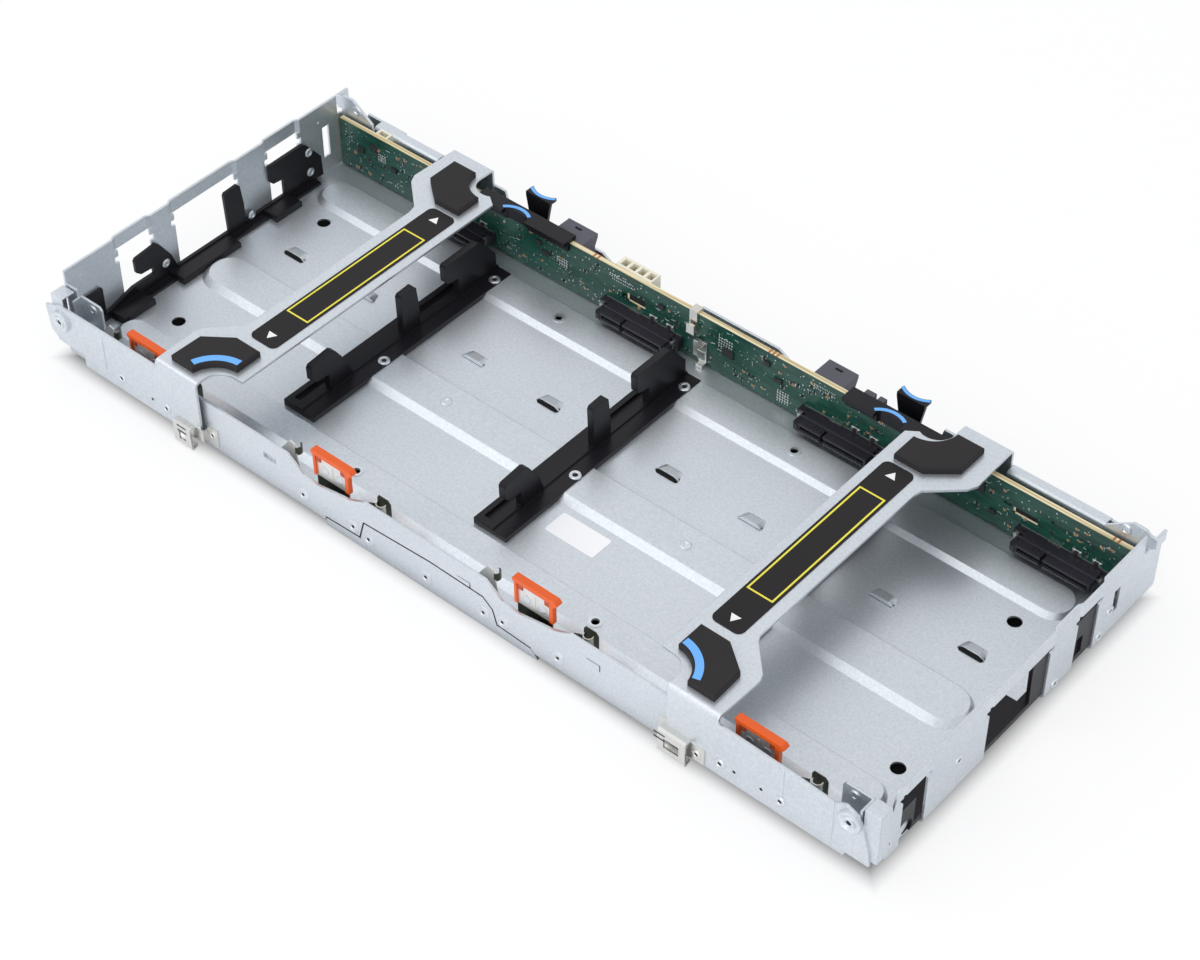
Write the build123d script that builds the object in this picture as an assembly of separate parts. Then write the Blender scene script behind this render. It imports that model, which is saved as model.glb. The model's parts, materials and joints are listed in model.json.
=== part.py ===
from build123d import *
import os

# Millimetres. X runs along the tray, Y from the latch side (front) to the board side (back), Z up.
# While the pieces are made, Z 0 is the top of the pan floor and X 0 the middle of the four bays.
# At the end everything is moved so that the origin is the middle of the resting face.

# Bays and the drives they hold
BAYS = 4
DRIVE_WIDTH = 101.6
DRIVE_SIDE_GAP = 0.3
POST_T = 3.3
DRIVE_REST = 3.2
BAY_PITCH = DRIVE_WIDTH + 2 * DRIVE_SIDE_GAP + POST_T
HALF = BAYS * BAY_PITCH / 2

# Sheet thicknesses and bends
PAN_T = 1.0
SHEET_T = 1.2
LEAF_T = 0.6
SPRING_T = 0.4
BEND = 1.5
FOLD_FLAT = 3.2

# Front planes, from the wall sheet outward and inward
WALL_FRONT_Y = -84.2
WALL_BACK_Y = WALL_FRONT_Y + SHEET_T
END_STEP = 2.8
END_FRONT_Y = WALL_FRONT_Y - END_STEP
END_BACK_Y = END_FRONT_Y + SHEET_T
LEAF_FRONT_Y = WALL_BACK_Y + PAN_T + 1.4
LEFT_WALL_FRONT = WALL_BACK_Y + 4.4
RIGHT_WALL_FRONT = WALL_BACK_Y + 3.0

# Board, connectors and back planes
BOARD_Y = 80.5
BOARD_T = 2.4
BOARD_FOOT = 0.5
BOARD_BACK_Y = BOARD_Y + BOARD_T
CABLE_SPACE = 11.1
REAR_WALL_Y = BOARD_BACK_Y + CABLE_SPACE
REAR_BACK_Y = REAR_WALL_Y + SHEET_T
CONNECTOR_LEFT = 0.0
CONNECTOR_WIDTH = 42.6
CONNECTOR_DEPTH = 10.0
CONNECTOR_LOW = 3.6
CONNECTOR_TOP = 8.2
CONNECTOR_FACE_Y = BOARD_Y - CONNECTOR_DEPTH
DIVIDER_BACK_Y = CONNECTOR_FACE_Y - 0.5

# Heights
BASE_DROP = 6.5
SIDE_TOP = 36.5
WINDOW_TOP = 30.0
PLATE_TOP = 30.0
PLATE_LOW = PLATE_TOP - SHEET_T
CLIP_TOP = PLATE_LOW - 0.8
CLIP_BAR_T = 2.1
BOARD_TOP = CLIP_TOP - CLIP_BAR_T
PAN_FRONT_LIP = 12.0
MID_TOP = 20.0
END_LOW_TOP = 12.0

# Floor
RIB_HEIGHT = 2.0
RIB_LEFT = -HALF + 8.0
RIB_RIGHT = HALF - 13.4
FLOOR_HOLE_D = 6.0
PILOT_HOLE_D = 3.4
PILOT_HOLE_OUT = 10.2
LOUVRE_SPREAD = 21.0
LOUVRE_Y = 19.2
FLOOR_HOLES = [(-HALF + 25, -43), (-HALF + 25, 44.5), (HALF - 20, -43), (HALF - 28.6, 43.7)]

# Latches
LEAF_WIDTH = 19.0
CAP_WIDTH = 21.0
CAP_T = 3.0
CAP_TOP = 28.0
CAP_LOW = 12.5
LATCH_SHIFT = -1.05

# Bridges: the right one stands over the last divider, the left one is its mirror image
BRIDGE_X = (BAYS / 2 - 1) * BAY_PITCH + 12.0
OUTER_SHIFT = -3.0
PAD_T = 3.0
PAD_EDGE = 0.5
LABEL_T = 0.3

# Board hardware
LEVER_PIN_Y = REAR_WALL_Y - 5.5
LEVER_PIN_Z = 3.5
LEVER_PIN_R = 1.5
CHEEK_GAP = 14.0
CHEEK_T = 1.6
LEVER_SIDE_GAP = 0.3
LEVER_BORE_GAP = 0.05
LEVER_FACE_Y = REAR_WALL_Y - 1.3
LEVER_TOP = CLIP_TOP + 0.6
GUIDE_FACE = HALF - POST_T / 2


def bay_x(i):
    return (i - (BAYS - 1) / 2) * BAY_PITCH


def divider_x(i):
    return (i - BAYS / 2) * BAY_PITCH


def latch_x(i):
    return bay_x(i) + LATCH_SHIFT


def mirrored(x):
    """Place on the left bridge that matches x on the right one."""
    return 2 * OUTER_SHIFT - x


def outline_face(corners, radius=0.0):
    if radius:
        wire = FilletPolyline(*corners, radius=radius, close=True)
    else:
        wire = Polyline(*corners, close=True)
    return make_face(wire.edges())


def plate_xy(corners, bottom, top, radius=0.0):
    return extrude(Plane.XY.offset(bottom) * outline_face(corners, radius), top - bottom)


def plate_xz(corners, front, back, radius=0.0):
    plane = Plane((0, back, 0), x_dir=(1, 0, 0), z_dir=(0, -1, 0))
    return extrude(plane * outline_face(corners, radius), back - front)


def plate_yz(corners, left, right, radius=0.0):
    plane = Plane((left, 0, 0), x_dir=(0, 1, 0), z_dir=(1, 0, 0))
    return extrude(plane * outline_face(corners, radius), right - left)


def rect(u0, u1, v0, v1):
    return [(u0, v0), (u1, v0), (u1, v1), (u0, v1)]


def block(x0, x1, y0, y1, z0, z1):
    return plate_xy(rect(x0, x1, y0, y1), z0, z1)


def peg_x(x0, x1, y, z, r):
    return Pos((x0 + x1) / 2, y, z) * Rot(0, 90, 0) * Cylinder(r, x1 - x0)


def peg_y(x, y0, y1, z, r):
    return Pos(x, (y0 + y1) / 2, z) * Rot(90, 0, 0) * Cylinder(r, y1 - y0)


def peg_z(x, y, z0, z1, r):
    return Pos(x, y, (z0 + z1) / 2) * Cylinder(r, z1 - z0)


def fuse(pieces):
    whole = pieces[0]
    for piece in pieces[1:]:
        whole = whole + piece
    return whole


# Pan

def floor_rib(front, back, top_front, top_back):
    middle = (RIB_LEFT + RIB_RIGHT) / 2
    foot = Pos(middle, (front + back) / 2, 0) * SlotOverall(RIB_RIGHT - RIB_LEFT, back - front)
    crown_length = RIB_RIGHT - RIB_LEFT - (back - front) + (top_back - top_front)
    crown = SlotOverall(crown_length, top_back - top_front)
    return loft([foot, Pos(middle, (top_front + top_back) / 2, RIB_HEIGHT) * crown])


def floor_ribs():
    return [floor_rib(52, 71, 54.5, 70), floor_rib(-19.5, 3, -16, 2), floor_rib(-70, -52.5, -66.5, -53.5)]


def louvre(x, y, width=12.4, depth=5.0, height=1.8, skin=0.6):
    """Lanced air slot: a hood that opens toward the front, and the hollow under it."""
    def arch(w, h, at):
        half = w / 2
        return plate_corners(at, [(-half, 0), (half, 0), (half * 0.8, h * 0.6), (half * 0.6, h),
                                  (-half * 0.6, h), (-half * 0.8, h * 0.6)])

    def plate_corners(at, corners):
        plane = Plane((x, at, 0), x_dir=(1, 0, 0), z_dir=(0, -1, 0))
        return plane * outline_face(corners)

    hood = loft([arch(width, height, y), arch(width - 3.4, 0.5, y + depth)], ruled=True)
    hollow = loft([arch(width - 2 * skin, height - skin, y - 0.2), arch(width - 5.4, 0.1, y + depth - 1)],
                  ruled=True)
    return hood, hollow + block(x - width / 2 + skin, x + width / 2 - skin, y - 0.2, y + 1.8, -2, 0.3)


EAR_TAB_IN = 6.4
BACK_STEP_Y = REAR_WALL_Y - 13.0
LEFT_WALL = [(LEFT_WALL_FRONT, -3), (LEFT_WALL_FRONT, SIDE_TOP), (BACK_STEP_Y, SIDE_TOP), (BACK_STEP_Y, 27),
             (REAR_WALL_Y, 24), (REAR_WALL_Y, -3)]
RIGHT_WALL = [(RIGHT_WALL_FRONT, -3), (RIGHT_WALL_FRONT, 24), (-77.5, 25), (-75, 33.5), (-71, 34), (-57, 35),
              (-40, SIDE_TOP), (BACK_STEP_Y, SIDE_TOP), (BACK_STEP_Y, 27), (REAR_WALL_Y, 24),
              (REAR_WALL_Y, -3)]
LEFT_WINDOWS = [(-50, -32), (-18, 17.6), (37.5, 56)]
RIGHT_WINDOWS = [(-72, -57), (-20, 19), (37, 51)]
JOGGLE = 1.2


def wall_band(side, windows, start):
    """Strip over the windows: it steps outward over each window and back."""
    inner = [(start, 0.0)]
    for low, high in windows:
        inner += [(low - 2, 0.0), (low, JOGGLE), (high, JOGGLE), (high + 2, 0.0)]
    inner.append((BACK_STEP_Y, 0.0))
    outer = [(y, out + PAN_T) for y, out in reversed(inner)]
    corners = [(side * (HALF + out), y) for y, out in inner + outer]
    return plate_xy(corners, WINDOW_TOP, SIDE_TOP)


def side_wall_cuts(side, windows):
    cuts = []
    for low, high in windows:
        corners = [(low, -3), (low, 24), (low - 2, 24), (low - 2, 27), (low, 27), (low, WINDOW_TOP),
                   (high, WINDOW_TOP), (high, 27), (high + 2, 27), (high + 2, 24), (high, 24), (high, -3)]
        x0, x1 = sorted((side * (HALF - 1.2), side * (HALF + 3)))
        cuts.append(plate_yz(corners, x0, x1))
    return cuts


def tray_pan():
    front = WALL_BACK_Y
    out, inside = HALF + PAN_T, HALF
    trough = block(-out, out, front, REAR_WALL_Y, -PAN_T, SIDE_TOP)
    trough = fillet(trough.edges().filter_by(Axis.Y).group_by(Axis.Z)[0], BEND + PAN_T / 2)
    hollow = block(-inside, inside, front - 1, REAR_WALL_Y + 1, 0, SIDE_TOP + 1)
    hollow = fillet(hollow.edges().filter_by(Axis.Y).group_by(Axis.Z)[0], BEND - PAN_T / 2)
    pan = trough - hollow
    for side, wall, windows in ((-1, LEFT_WALL, LEFT_WINDOWS), (1, RIGHT_WALL, RIGHT_WINDOWS)):
        x0, x1 = sorted((side * (HALF - 1), side * (HALF + 3)))
        zone = block(x0, x1, front - 1, REAR_WALL_Y + 1, WINDOW_TOP, SIDE_TOP + 1)
        pan = pan - zone + wall_band(side, windows, wall[0][0] - 1)
        trim = block(x0, x1, front - 1, REAR_WALL_Y + 1, -3, SIDE_TOP + 1) - plate_yz(wall, x0 - 1, x1 + 1)
        pan = pan - trim
        for cut in side_wall_cuts(side, windows):
            pan = pan - cut
    # lip along the front, left open behind each latch
    lip = block(-HALF + 5, HALF - 11, front, front + PAN_T, -PAN_T, PAN_FRONT_LIP)
    for i in range(BAYS):
        reach = CAP_WIDTH / 2 + 0.5
        lip = lip - block(latch_x(i) - reach, latch_x(i) + reach, front - 1, front + 3, 0.4,
                          PAN_FRONT_LIP + 1)
    back_lip = block(-HALF + 8, HALF - 12, REAR_WALL_Y - PAN_T, REAR_WALL_Y, -PAN_T, 7)
    pan = pan + lip + back_lip
    # short inward returns at the front corners carry the front ears
    pan = pan + block(HALF - EAR_TAB_IN, HALF + 0.2, RIGHT_WALL_FRONT, RIGHT_WALL_FRONT + PAN_T, 6, 24)
    pan = pan + block(-HALF - 0.2, -HALF + EAR_TAB_IN, LEFT_WALL_FRONT, LEFT_WALL_FRONT + PAN_T, 6, 30)
    for rib in floor_ribs():
        pan = pan + rib - Pos(0, 0, -PAN_T) * rib
    for i in range(BAYS):
        for sign in (-1, 1):
            hood, inside = louvre(bay_x(i) + sign * LOUVRE_SPREAD, LOUVRE_Y)
            pan = pan + hood - inside
    for x, y in FLOOR_HOLES:
        pan = pan - peg_z(x, y, -4, 4, FLOOR_HOLE_D / 2)
    for i, sign in ((1, -1), (2, 1)):
        for y in (-61, 62):
            pan = pan - peg_z(bay_x(i) + sign * PILOT_HOLE_OUT, y, -4, 4, PILOT_HOLE_D / 2)
    slot = rect(REAR_WALL_Y - 23, REAR_WALL_Y - 19, 8, 24.5)
    pan = pan - plate_yz(slot, -HALF - 3, -HALF + 1)
    slot = rect(REAR_WALL_Y - 32, REAR_WALL_Y - 28, 10, 22)
    return pan - plate_yz(slot, HALF - 1, HALF + 3)


# Front wall

LOWER_PLATE = [(-57.1, -2.6), (-38.5, -1.8), (-35.7, 7.9), (-0.4, 10), (26.7, 9.5), (31.4, 5.7),
               (33.5, -1.4), (50.4, -2.3), (53.9, -BASE_DROP), (-57.1, -BASE_DROP)]
SEAM = 0.5


def finger_dip(c):
    return [(c - 25, MID_TOP), (c - 16.5, 13.4), (c - 9, 12.7), (c + 8.6, 15.9), (c + 11.6, 17.2),
            (c + 17, MID_TOP)]


def front_wall():
    step_left, step_right = mirrored(BRIDGE_X + 10.5), BRIDGE_X + 2.5
    corners = [(-HALF + 3, -1), (-HALF + 3, END_LOW_TOP), (step_left, END_LOW_TOP), (step_left, MID_TOP)]
    for i in range(1, BAYS - 1):
        corners += finger_dip(bay_x(i) + 0.75)
    corners += [(step_right, MID_TOP), (step_right, END_LOW_TOP), (HALF - 21, END_LOW_TOP),
                (HALF - 21, -1), (BRIDGE_X + 12.5, -4), (mirrored(BRIDGE_X + 3.5), -4)]
    wall = plate_xz(corners, WALL_FRONT_Y, WALL_BACK_Y, 1.2)
    inset = offset(outline_face(LOWER_PLATE), SEAM, kind=Kind.INTERSECTION)
    plane = Plane((0, WALL_BACK_Y + 1, 0), x_dir=(1, 0, 0), z_dir=(0, -1, 0))
    wall = wall - extrude(plane * inset, SHEET_T + 2)
    wall = wall - plate_xz(rect(-91, -84, 9.5, 12.5), WALL_FRONT_Y - 1, WALL_BACK_Y + 1)
    for x in (17, 81.6):
        slit = [(x - 3, 12.3), (x + 3, 12.3), (x + 3, 9.5), (x + 3.6, 9.5), (x + 3.6, 12.9), (x - 3, 12.9)]
        wall = wall - plate_xz(slit, WALL_FRONT_Y - 1, WALL_BACK_Y + 1)
    return wall


def lower_front_plate():
    return plate_xz(LOWER_PLATE, WALL_FRONT_Y, WALL_BACK_Y)


# Rear wall

def rear_wall():
    left, right = -HALF + 6, HALF - 12
    hump, middle = divider_x(1), divider_x(2)
    corners = [(left, -BASE_DROP), (left, 22), (left + 23, 22), (left + 23, 20.5),
               (mirrored(BRIDGE_X - 1.5), 20.5), (mirrored(BRIDGE_X - 5.5), 6), (hump + 10.5, 6),
               (hump + 13.5, 13), (hump + 17.5, 15.5), (hump + 39.5, 15.5), (hump + 43.5, 13),
               (hump + 46.5, 7), (middle - 20, 7), (middle - 16, 13), (middle - 11, 15.7),
               (middle + 29, 15.7), (middle + 34, 13), (middle + 38, 7), (BRIDGE_X - 35.5, 6),
               (BRIDGE_X - 9.5, 6), (BRIDGE_X - 5.5, 20.5), (right, 20.5), (right, -BASE_DROP)]
    wall = plate_xz(corners, REAR_WALL_Y, REAR_BACK_Y)
    # bottom edge folds forward and joggles up under the pan floor
    back, front, foot, seat = REAR_BACK_Y, REAR_WALL_Y, -BASE_DROP, -PAN_T
    fold = [(back, foot), (front - 11, foot), (front - 15, seat - SHEET_T), (front - 28, seat - SHEET_T),
            (front - 28, seat), (front - 14.4, seat), (front - 10.4, foot + SHEET_T),
            (front, foot + SHEET_T), (front, -2), (back, -2)]
    wall = wall + plate_yz(fold, left, right, [BEND, 1, 1, 0, 0, 1, 1, 0.3, 0, 0])
    # rolled top flange at both ends
    roll = [(back, 18), (back, 22.5), (front - 5.4, 22.5), (front - 5.4, 16.5), (front - 4.4, 16.5),
            (front - 4.4, 21.5), (front, 21.5), (front, 18)]
    radii = [0, 2.4, 2.4, 0, 0, 1.4, 1.4, 0]
    wall = wall + plate_yz(roll, HALF - 66, HALF - 21, radii)
    return wall + plate_yz(roll, mirrored(HALF - 21), mirrored(HALF - 59), radii)


# Bridges

def bridge_outline():
    """Plan of the right bridge: front tongue, curved shoulders, arm, and back tongue."""
    x, f, b = BRIDGE_X, END_FRONT_Y, REAR_WALL_Y
    front, back = f + FOLD_FLAT, b - FOLD_FLAT
    scoop_front = ThreePointArc((x + 1.3, f + 7.2), (x - 1.3, f + 11.4), (x - 7.0, f + 13.4))
    scoop_back = ThreePointArc((x - 7.2, b - 15.6), (x + 0.3, b - 15.6), (x + 4.5, b - 10.0))
    arm_in = Polyline((x - 7.0, f + 13.4), (x - 11.9, f + 13.7), (x - 11.9, b - 19.0), (x - 7.2, b - 15.6))
    rim = Polyline((x + 4.5, b - 10.0), (x + 4.5, back), (x + 26.8, back), (x + 27.7, b - 26.0),
                   (x + 25.7, b - 30.0), (x + 12.9, b - 41.7), (x + 11.9, b - 45.8), (x + 11.9, f + 40.5),
                   (x + 13.3, f + 37.5), (x + 24.3, f + 26.0), (x + 25.4, f + 22.8), (x + 24.9, front),
                   (x + 1.3, front), (x + 1.3, f + 7.2))
    return make_face(scoop_front.edges() + arm_in.edges() + scoop_back.edges() + rim.edges())


def end_section(left):
    """Upright sheet at the outer end of a bridge, stepped in front of the front wall."""
    x, e = BRIDGE_X, HALF
    if left:
        return [(mirrored(x + 24.9), 26), (-e + 3, 25.6), (-e + 2, 24.8), (-e - 5, 22), (-e - 3.5, 9.6),
                (-e + 1.7, 5.2), (-e + 16, 5), (-e + 16, -0.8), (mirrored(x + 1.3), -0.8),
                (mirrored(x + 1.3), 26)]
    return [(x + 1.3, -0.8), (e - 12, -0.8), (e - 11, 1.5), (e - 1, 1.5), (e - 1.5, 8), (e - 4, 17),
            (e - 6.5, 24), (e - 12.5, 26.5), (e - 18, 23.6), (e - 35, 24.8), (x + 24.9, 26), (x + 1.3, 26)]


def fold_strip(face, inward, low, x0, x1):
    """Rounded fold from the bridge plate down into an upright sheet whose outer face is at Y = face."""
    flat, inner = face + inward * FOLD_FLAT, face + inward * SHEET_T
    corners = [(face, low), (face, PLATE_TOP), (flat, PLATE_TOP), (flat, PLATE_LOW), (inner, PLATE_LOW),
               (inner, low)]
    return plate_yz(corners, x0, x1, [0, 1.0 + SHEET_T, 0, 0, 1.0, 0])


def bridge(left):
    plate = extrude(Plane.XY.offset(PLATE_LOW) * bridge_outline(), SHEET_T)
    plate = plate + fold_strip(END_FRONT_Y, 1, 25.9, BRIDGE_X + 1.3, BRIDGE_X + 24.9)
    plate = plate + fold_strip(REAR_WALL_Y, -1, 14, BRIDGE_X + 4.5, BRIDGE_X + 26.8)
    if left:
        plate = mirror(plate, Plane.YZ.offset(OUTER_SHIFT))
    sheet = plate + plate_xz(end_section(left), END_FRONT_Y, END_BACK_Y)
    # pressed boss near the outer end, and stiffening darts inside the front fold
    boss_x, boss_z = (-HALF + 4.3, 17.7) if left else (HALF - 10, 20)
    sheet = sheet + peg_y(boss_x, END_FRONT_Y - 1.2, END_FRONT_Y + 0.2, boss_z, 5)
    sheet = sheet - peg_y(boss_x, END_FRONT_Y - 2, END_BACK_Y + 1, boss_z, 1.3)
    for x in (BRIDGE_X + 6.5, BRIDGE_X + 19.5):
        at = mirrored(x) if left else x
        dart = [(END_BACK_Y, PLATE_LOW), (END_BACK_Y + 4, PLATE_LOW), (END_BACK_Y, PLATE_LOW - 4)]
        sheet = sheet + plate_yz(dart, at - 1.4, at + 1.4)
    return sheet


def pad_outline(toward_front):
    x, f, b = BRIDGE_X, END_FRONT_Y, REAR_WALL_Y
    if toward_front:
        rim = Polyline((x + 7.0, f + 4.5), (x + 19.3, f + 4.5), (x + 18.8, f + 20), (x + 6.9, f + 29),
                       (x - 6.5, f + 29), (x - 6.5, f + 16))
        scoop = ThreePointArc((x - 6.5, f + 16), (x + 1.4, f + 13.4), (x + 7.0, f + 4.5))
    else:
        rim = Polyline((x - 6, b - 21.5), (x - 6, b - 34.5), (x + 7.5, b - 34.5), (x + 19, b - 25),
                       (x + 19, b - 9.5), (x + 6.5, b - 9.5))
        scoop = ThreePointArc((x + 6.5, b - 9.5), (x + 2.6, b - 18.1), (x - 6, b - 21.5))
    return make_face(rim.edges() + scoop.edges())


def pad(left, toward_front):
    body = extrude(Plane.XY.offset(PLATE_TOP) * pad_outline(toward_front), PAD_T)
    body = chamfer(body.edges().group_by(Axis.Z)[-1], PAD_EDGE)
    return mirror(body, Plane.YZ.offset(OUTER_SHIFT)) if left else body


def strip_label(left):
    strip = Pos(BRIDGE_X - 0.5, 2.5, PLATE_TOP) * extrude(RectangleRounded(14.4, 109, 3.0), LABEL_T)
    return mirror(strip, Plane.YZ.offset(OUTER_SHIFT)) if left else strip


# Side guides and dividers

HOOK_FRONT = [(-33.5, 1.5), (-34.2, 11.5), (-40.9, 12), (-43.2, 14), (-43.4, 20), (-42.5, 21.3),
              (-31, 22.3), (-29.2, 21), (-23.5, 12), (-20.5, 3), (-20.5, 1.5)]
MID_POST = [(10, 1.5), (9.2, 23.6), (10, 24.8), (17.4, 25.2), (18.6, 24), (19.8, 14), (20.2, 1.5)]
BACK_HOOK = [(44, 1.5), (44, 12.8), (38, 13.6), (36.6, 15), (36.2, 22.6), (37, 23.8), (57, 24.0),
             (60, 21.5), (67.5, 12), (68, 1.5)]
POSTS = [HOOK_FRONT, MID_POST, BACK_HOOK]
DIVIDER_FRONT_Y = -50.5


def side_guide(side):
    """Moulded guide on a side wall: body strip, hooks, post and the ledges a drive lies on."""
    x0, x1 = sorted((side * GUIDE_FACE, side * HALF))
    strip = plate_yz([(-75, 0), (64, 0), (64, 4), (-20, 4), (-24, 8), (-46, 8), (-60, 4), (-62, 4),
                      (-62, 17.5), (-75, 17.5)], x0, x1)
    strip = strip - peg_x(x0 - 1, x1 + 1, -67.5, 4.5, 4.6)
    body = fuse([strip] + [plate_yz(post, x0, x1) for post in POSTS])
    for y0, y1 in ((-59.5, -41.5), (-25, 9), (31, 46.5)):
        ledge0, ledge1 = sorted((side * (HALF - 9.5), side * (HALF - 0.5)))
        ledge = block(ledge0, ledge1, y0, y1, 0, DRIVE_REST)
        body = body + chamfer(ledge.edges().group_by(Axis.Z)[-1], 0.4)
    web0, web1 = sorted((side * (HALF - 5), side * (HALF - 0.5)))
    body = body + block(web0, web1, -60, 63, 0, 1.4)
    for rib in floor_ribs():
        body = body - rib
    corner0, corner1 = sorted((side * (HALF - 1.2), side * (HALF + 1)))
    return body - block(corner0, corner1, -80, 70, -1, 1.2)


def drive_divider(i):
    """Moulded divider: two strips a drive lies on, drain grooves, and the hooks between the drives."""
    x, half = divider_x(i), POST_T / 2
    body = block(x - 9, x + 1, DIVIDER_FRONT_Y, DIVIDER_BACK_Y, 0, DRIVE_REST)
    body = body + block(x, x + 8, DIVIDER_FRONT_Y, DIVIDER_BACK_Y, 0, DRIVE_REST - 0.7)
    for y0, y1 in ((DIVIDER_FRONT_Y + 3.5, -20), (24, DIVIDER_BACK_Y - 4)):
        body = body - block(x - 6.5, x - 3.0, y0, y1, DRIVE_REST - 1.6, DRIVE_REST + 1)
    for post in POSTS:
        body = body + plate_yz(post, x - half, x + half)
    for rib in floor_ribs():
        body = body - rib
    return body


# Latches

def release_leaf(i):
    """Spring leaf with its centre slit."""
    x, half, y, top = latch_x(i), LEAF_WIDTH / 2, LEAF_FRONT_Y, CAP_TOP - 3
    corners = [(x - half, 0.7), (x - half, top - 2), (x - half + 3, top), (x + half - 3, top),
               (x + half, top - 2), (x + half, 0.7)]
    leaf = plate_xz(corners, y, y + LEAF_T)
    return leaf - plate_xz(rect(x - 0.35, x + 0.35, 10, 19), y - 1, y + LEAF_T + 1)


def release_cap(i):
    """Orange frame clipped over the top of the leaf, with a flared right end."""
    x, half, y = latch_x(i), CAP_WIDTH / 2, LEAF_FRONT_Y - 1.0
    corners = [(x - half, CAP_LOW + 3), (x - half, CAP_TOP - 3), (x - half - 1, CAP_TOP - 2),
               (x - half - 1, CAP_TOP), (x + half + 1, CAP_TOP), (x + half + 2.4, CAP_TOP - 2.4),
               (x + half, CAP_TOP - 5), (x + half, CAP_LOW - 1), (x + half - 2.2, CAP_LOW - 1),
               (x + half - 2.2, CAP_LOW + 5.4), (x + half - 5, CAP_LOW + 6), (x + half - 5, CAP_TOP - 2.8),
               (x - half + 3.4, CAP_TOP - 2.8), (x - half + 3.4, CAP_LOW + 8),
               (x - half + 1.6, CAP_LOW + 7.4), (x - half + 1.6, CAP_LOW + 3)]
    frame = plate_xz(corners, y, y + CAP_T)
    top_front = frame.edges().filter_by(Axis.X).group_by(Axis.Z)[-1]
    return chamfer(top_front, 0.4) - release_leaf(i)


def contact_spring(x, lean):
    """Bent spring finger hooked over the front wall and bowed in toward the drive."""
    y, t = WALL_BACK_Y, SPRING_T
    path = Polyline((y + t / 2, PAN_FRONT_LIP), (y + t / 2, 19.2), (y + 0.8, 19.9), (y + 1.6, 19.9),
                    (y + 2.3, 19.2), (y + 4.1, 13.9), (y + 4.1, 13.1), (y + 2.8, 10.6))
    plane = Plane((x - 4.5, 0, 0), x_dir=(0, 1, 0), z_dir=(1, 0, 0))
    strip = extrude(plane * trace(path, line_width=t), 9)
    return strip - block(*sorted((x + lean * 0.8, x + lean * 1.8)), y + 1.4, y + 8, 9, 16.5)


def contact_springs(lean):
    return [contact_spring(latch_x(i) + (-19.5 if lean < 0 else 24.0), lean) for i in range(BAYS)]


# Board and its hardware

def backplane_board():
    board = block(-HALF + 1.2, HALF - 2.6, BOARD_Y, BOARD_BACK_Y, BOARD_FOOT, BOARD_TOP)
    for x0, x1, z0, z1 in ((HALF - 39, HALF - 18, 17.5, 19.3), (bay_x(1) + 9.2, bay_x(1) + 14.2, 12.5, 15),
                           (bay_x(3) - 7.8, bay_x(3) - 4.2, 15, 16.6)):
        board = board - block(x0, x1, BOARD_Y - 1, BOARD_BACK_Y + 1, z0, z1)
    return board


def drive_connector(i):
    """Drive socket: flange on the board, low body with a slot for the drive's tongue, guide horns."""
    x0, face, low, top = bay_x(i) + CONNECTOR_LEFT, CONNECTOR_FACE_Y, CONNECTOR_LOW, CONNECTOR_TOP
    x1 = x0 + CONNECTOR_WIDTH
    body = block(x0 + 4.8, x1 - 3.6, face, BOARD_Y, low, top)
    body = body + block(x0, x1, BOARD_Y - 3.4, BOARD_Y, low, top + 0.4)
    body = body + block(x0 + 4.8, x1 - 3.6, BOARD_Y - 5.5, BOARD_Y - 1.4, low, top + 0.8)
    body = body - block(x0 + 6, x1 - 4.8, face - 1, face + 7, low + 1.1, top - 1.2)
    body = body - block(x0 + 16.4, x0 + 17.6, face - 1, face + 4, low - 1, top + 2)
    horn = [(x0 + 2.2, face + 5), (x0 + 2.2, face + 0.8), (x0 + 3.2, face - 0.4), (x0 + 5, face - 0.4),
            (x0 + 5, face + 5)]
    body = body + plate_xy(horn, low + 0.8, top - 1)
    horn = [(x1 - 3.8, face + 5), (x1 - 3.8, face + 1), (x1 - 2.4, face + 1), (x1 - 1.8, face + 2.4),
            (x1 - 1.8, face + 5)]
    return body + plate_xy(horn, low + 0.8, top - 1)


def lever_centres():
    return [divider_x(1) + 3.9, divider_x(BAYS - 1) - 9.6]


def board_clip(c):
    """Moulded clip: bar over the board's edge, finger scoop in front, cheeks behind for the pin."""
    low, back = BOARD_TOP, BOARD_BACK_Y + 1.5
    bar = block(c - 22, c + 29, BOARD_Y - 4, back, low, CLIP_TOP)
    bar = bar + block(c - 12, c + 16, BOARD_BACK_Y, back, 16, low + 0.2)
    bar = bar + block(c - 22, c + 29, BOARD_Y - 1.6, BOARD_Y, low - 3.4, low + 0.2)
    scoop = peg_z(c, BOARD_Y - 8.5, low - 6, low + 6, 9.4)
    bar = bar - (scoop & block(c - 6.4, c + 6.4, BOARD_Y - 10, BOARD_Y - 0.6, low - 6, CLIP_TOP + 2))
    inner, outer = CHEEK_GAP / 2, CHEEK_GAP / 2 + CHEEK_T
    spine = plate_yz([(BOARD_BACK_Y, 0), (BOARD_BACK_Y, CLIP_TOP - 2), (back, CLIP_TOP - 2),
                      (back + 0.9, 12), (LEVER_PIN_Y - 2, 8), (LEVER_PIN_Y - 2, 0)], c - outer, c + outer)
    spine = spine - block(c - inner, c + inner, LEVER_PIN_Y - 4.2, LEVER_PIN_Y + 5, -1, 16)
    cheeks = []
    for side in (-1, 1):
        a, b = sorted((c + side * inner, c + side * outer))
        cheeks.append(plate_yz([(BOARD_BACK_Y + 0.2, 0), (BOARD_BACK_Y + 0.2, 10), (LEVER_PIN_Y, 7),
                                (LEVER_PIN_Y + 3.2, 5.5), (LEVER_PIN_Y + 3.2, 0)], a, b))
    body = fuse([bar, spine] + cheeks)
    return body - peg_x(c - outer - 1, c + outer + 1, LEVER_PIN_Y, LEVER_PIN_Z, LEVER_PIN_R)


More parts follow.
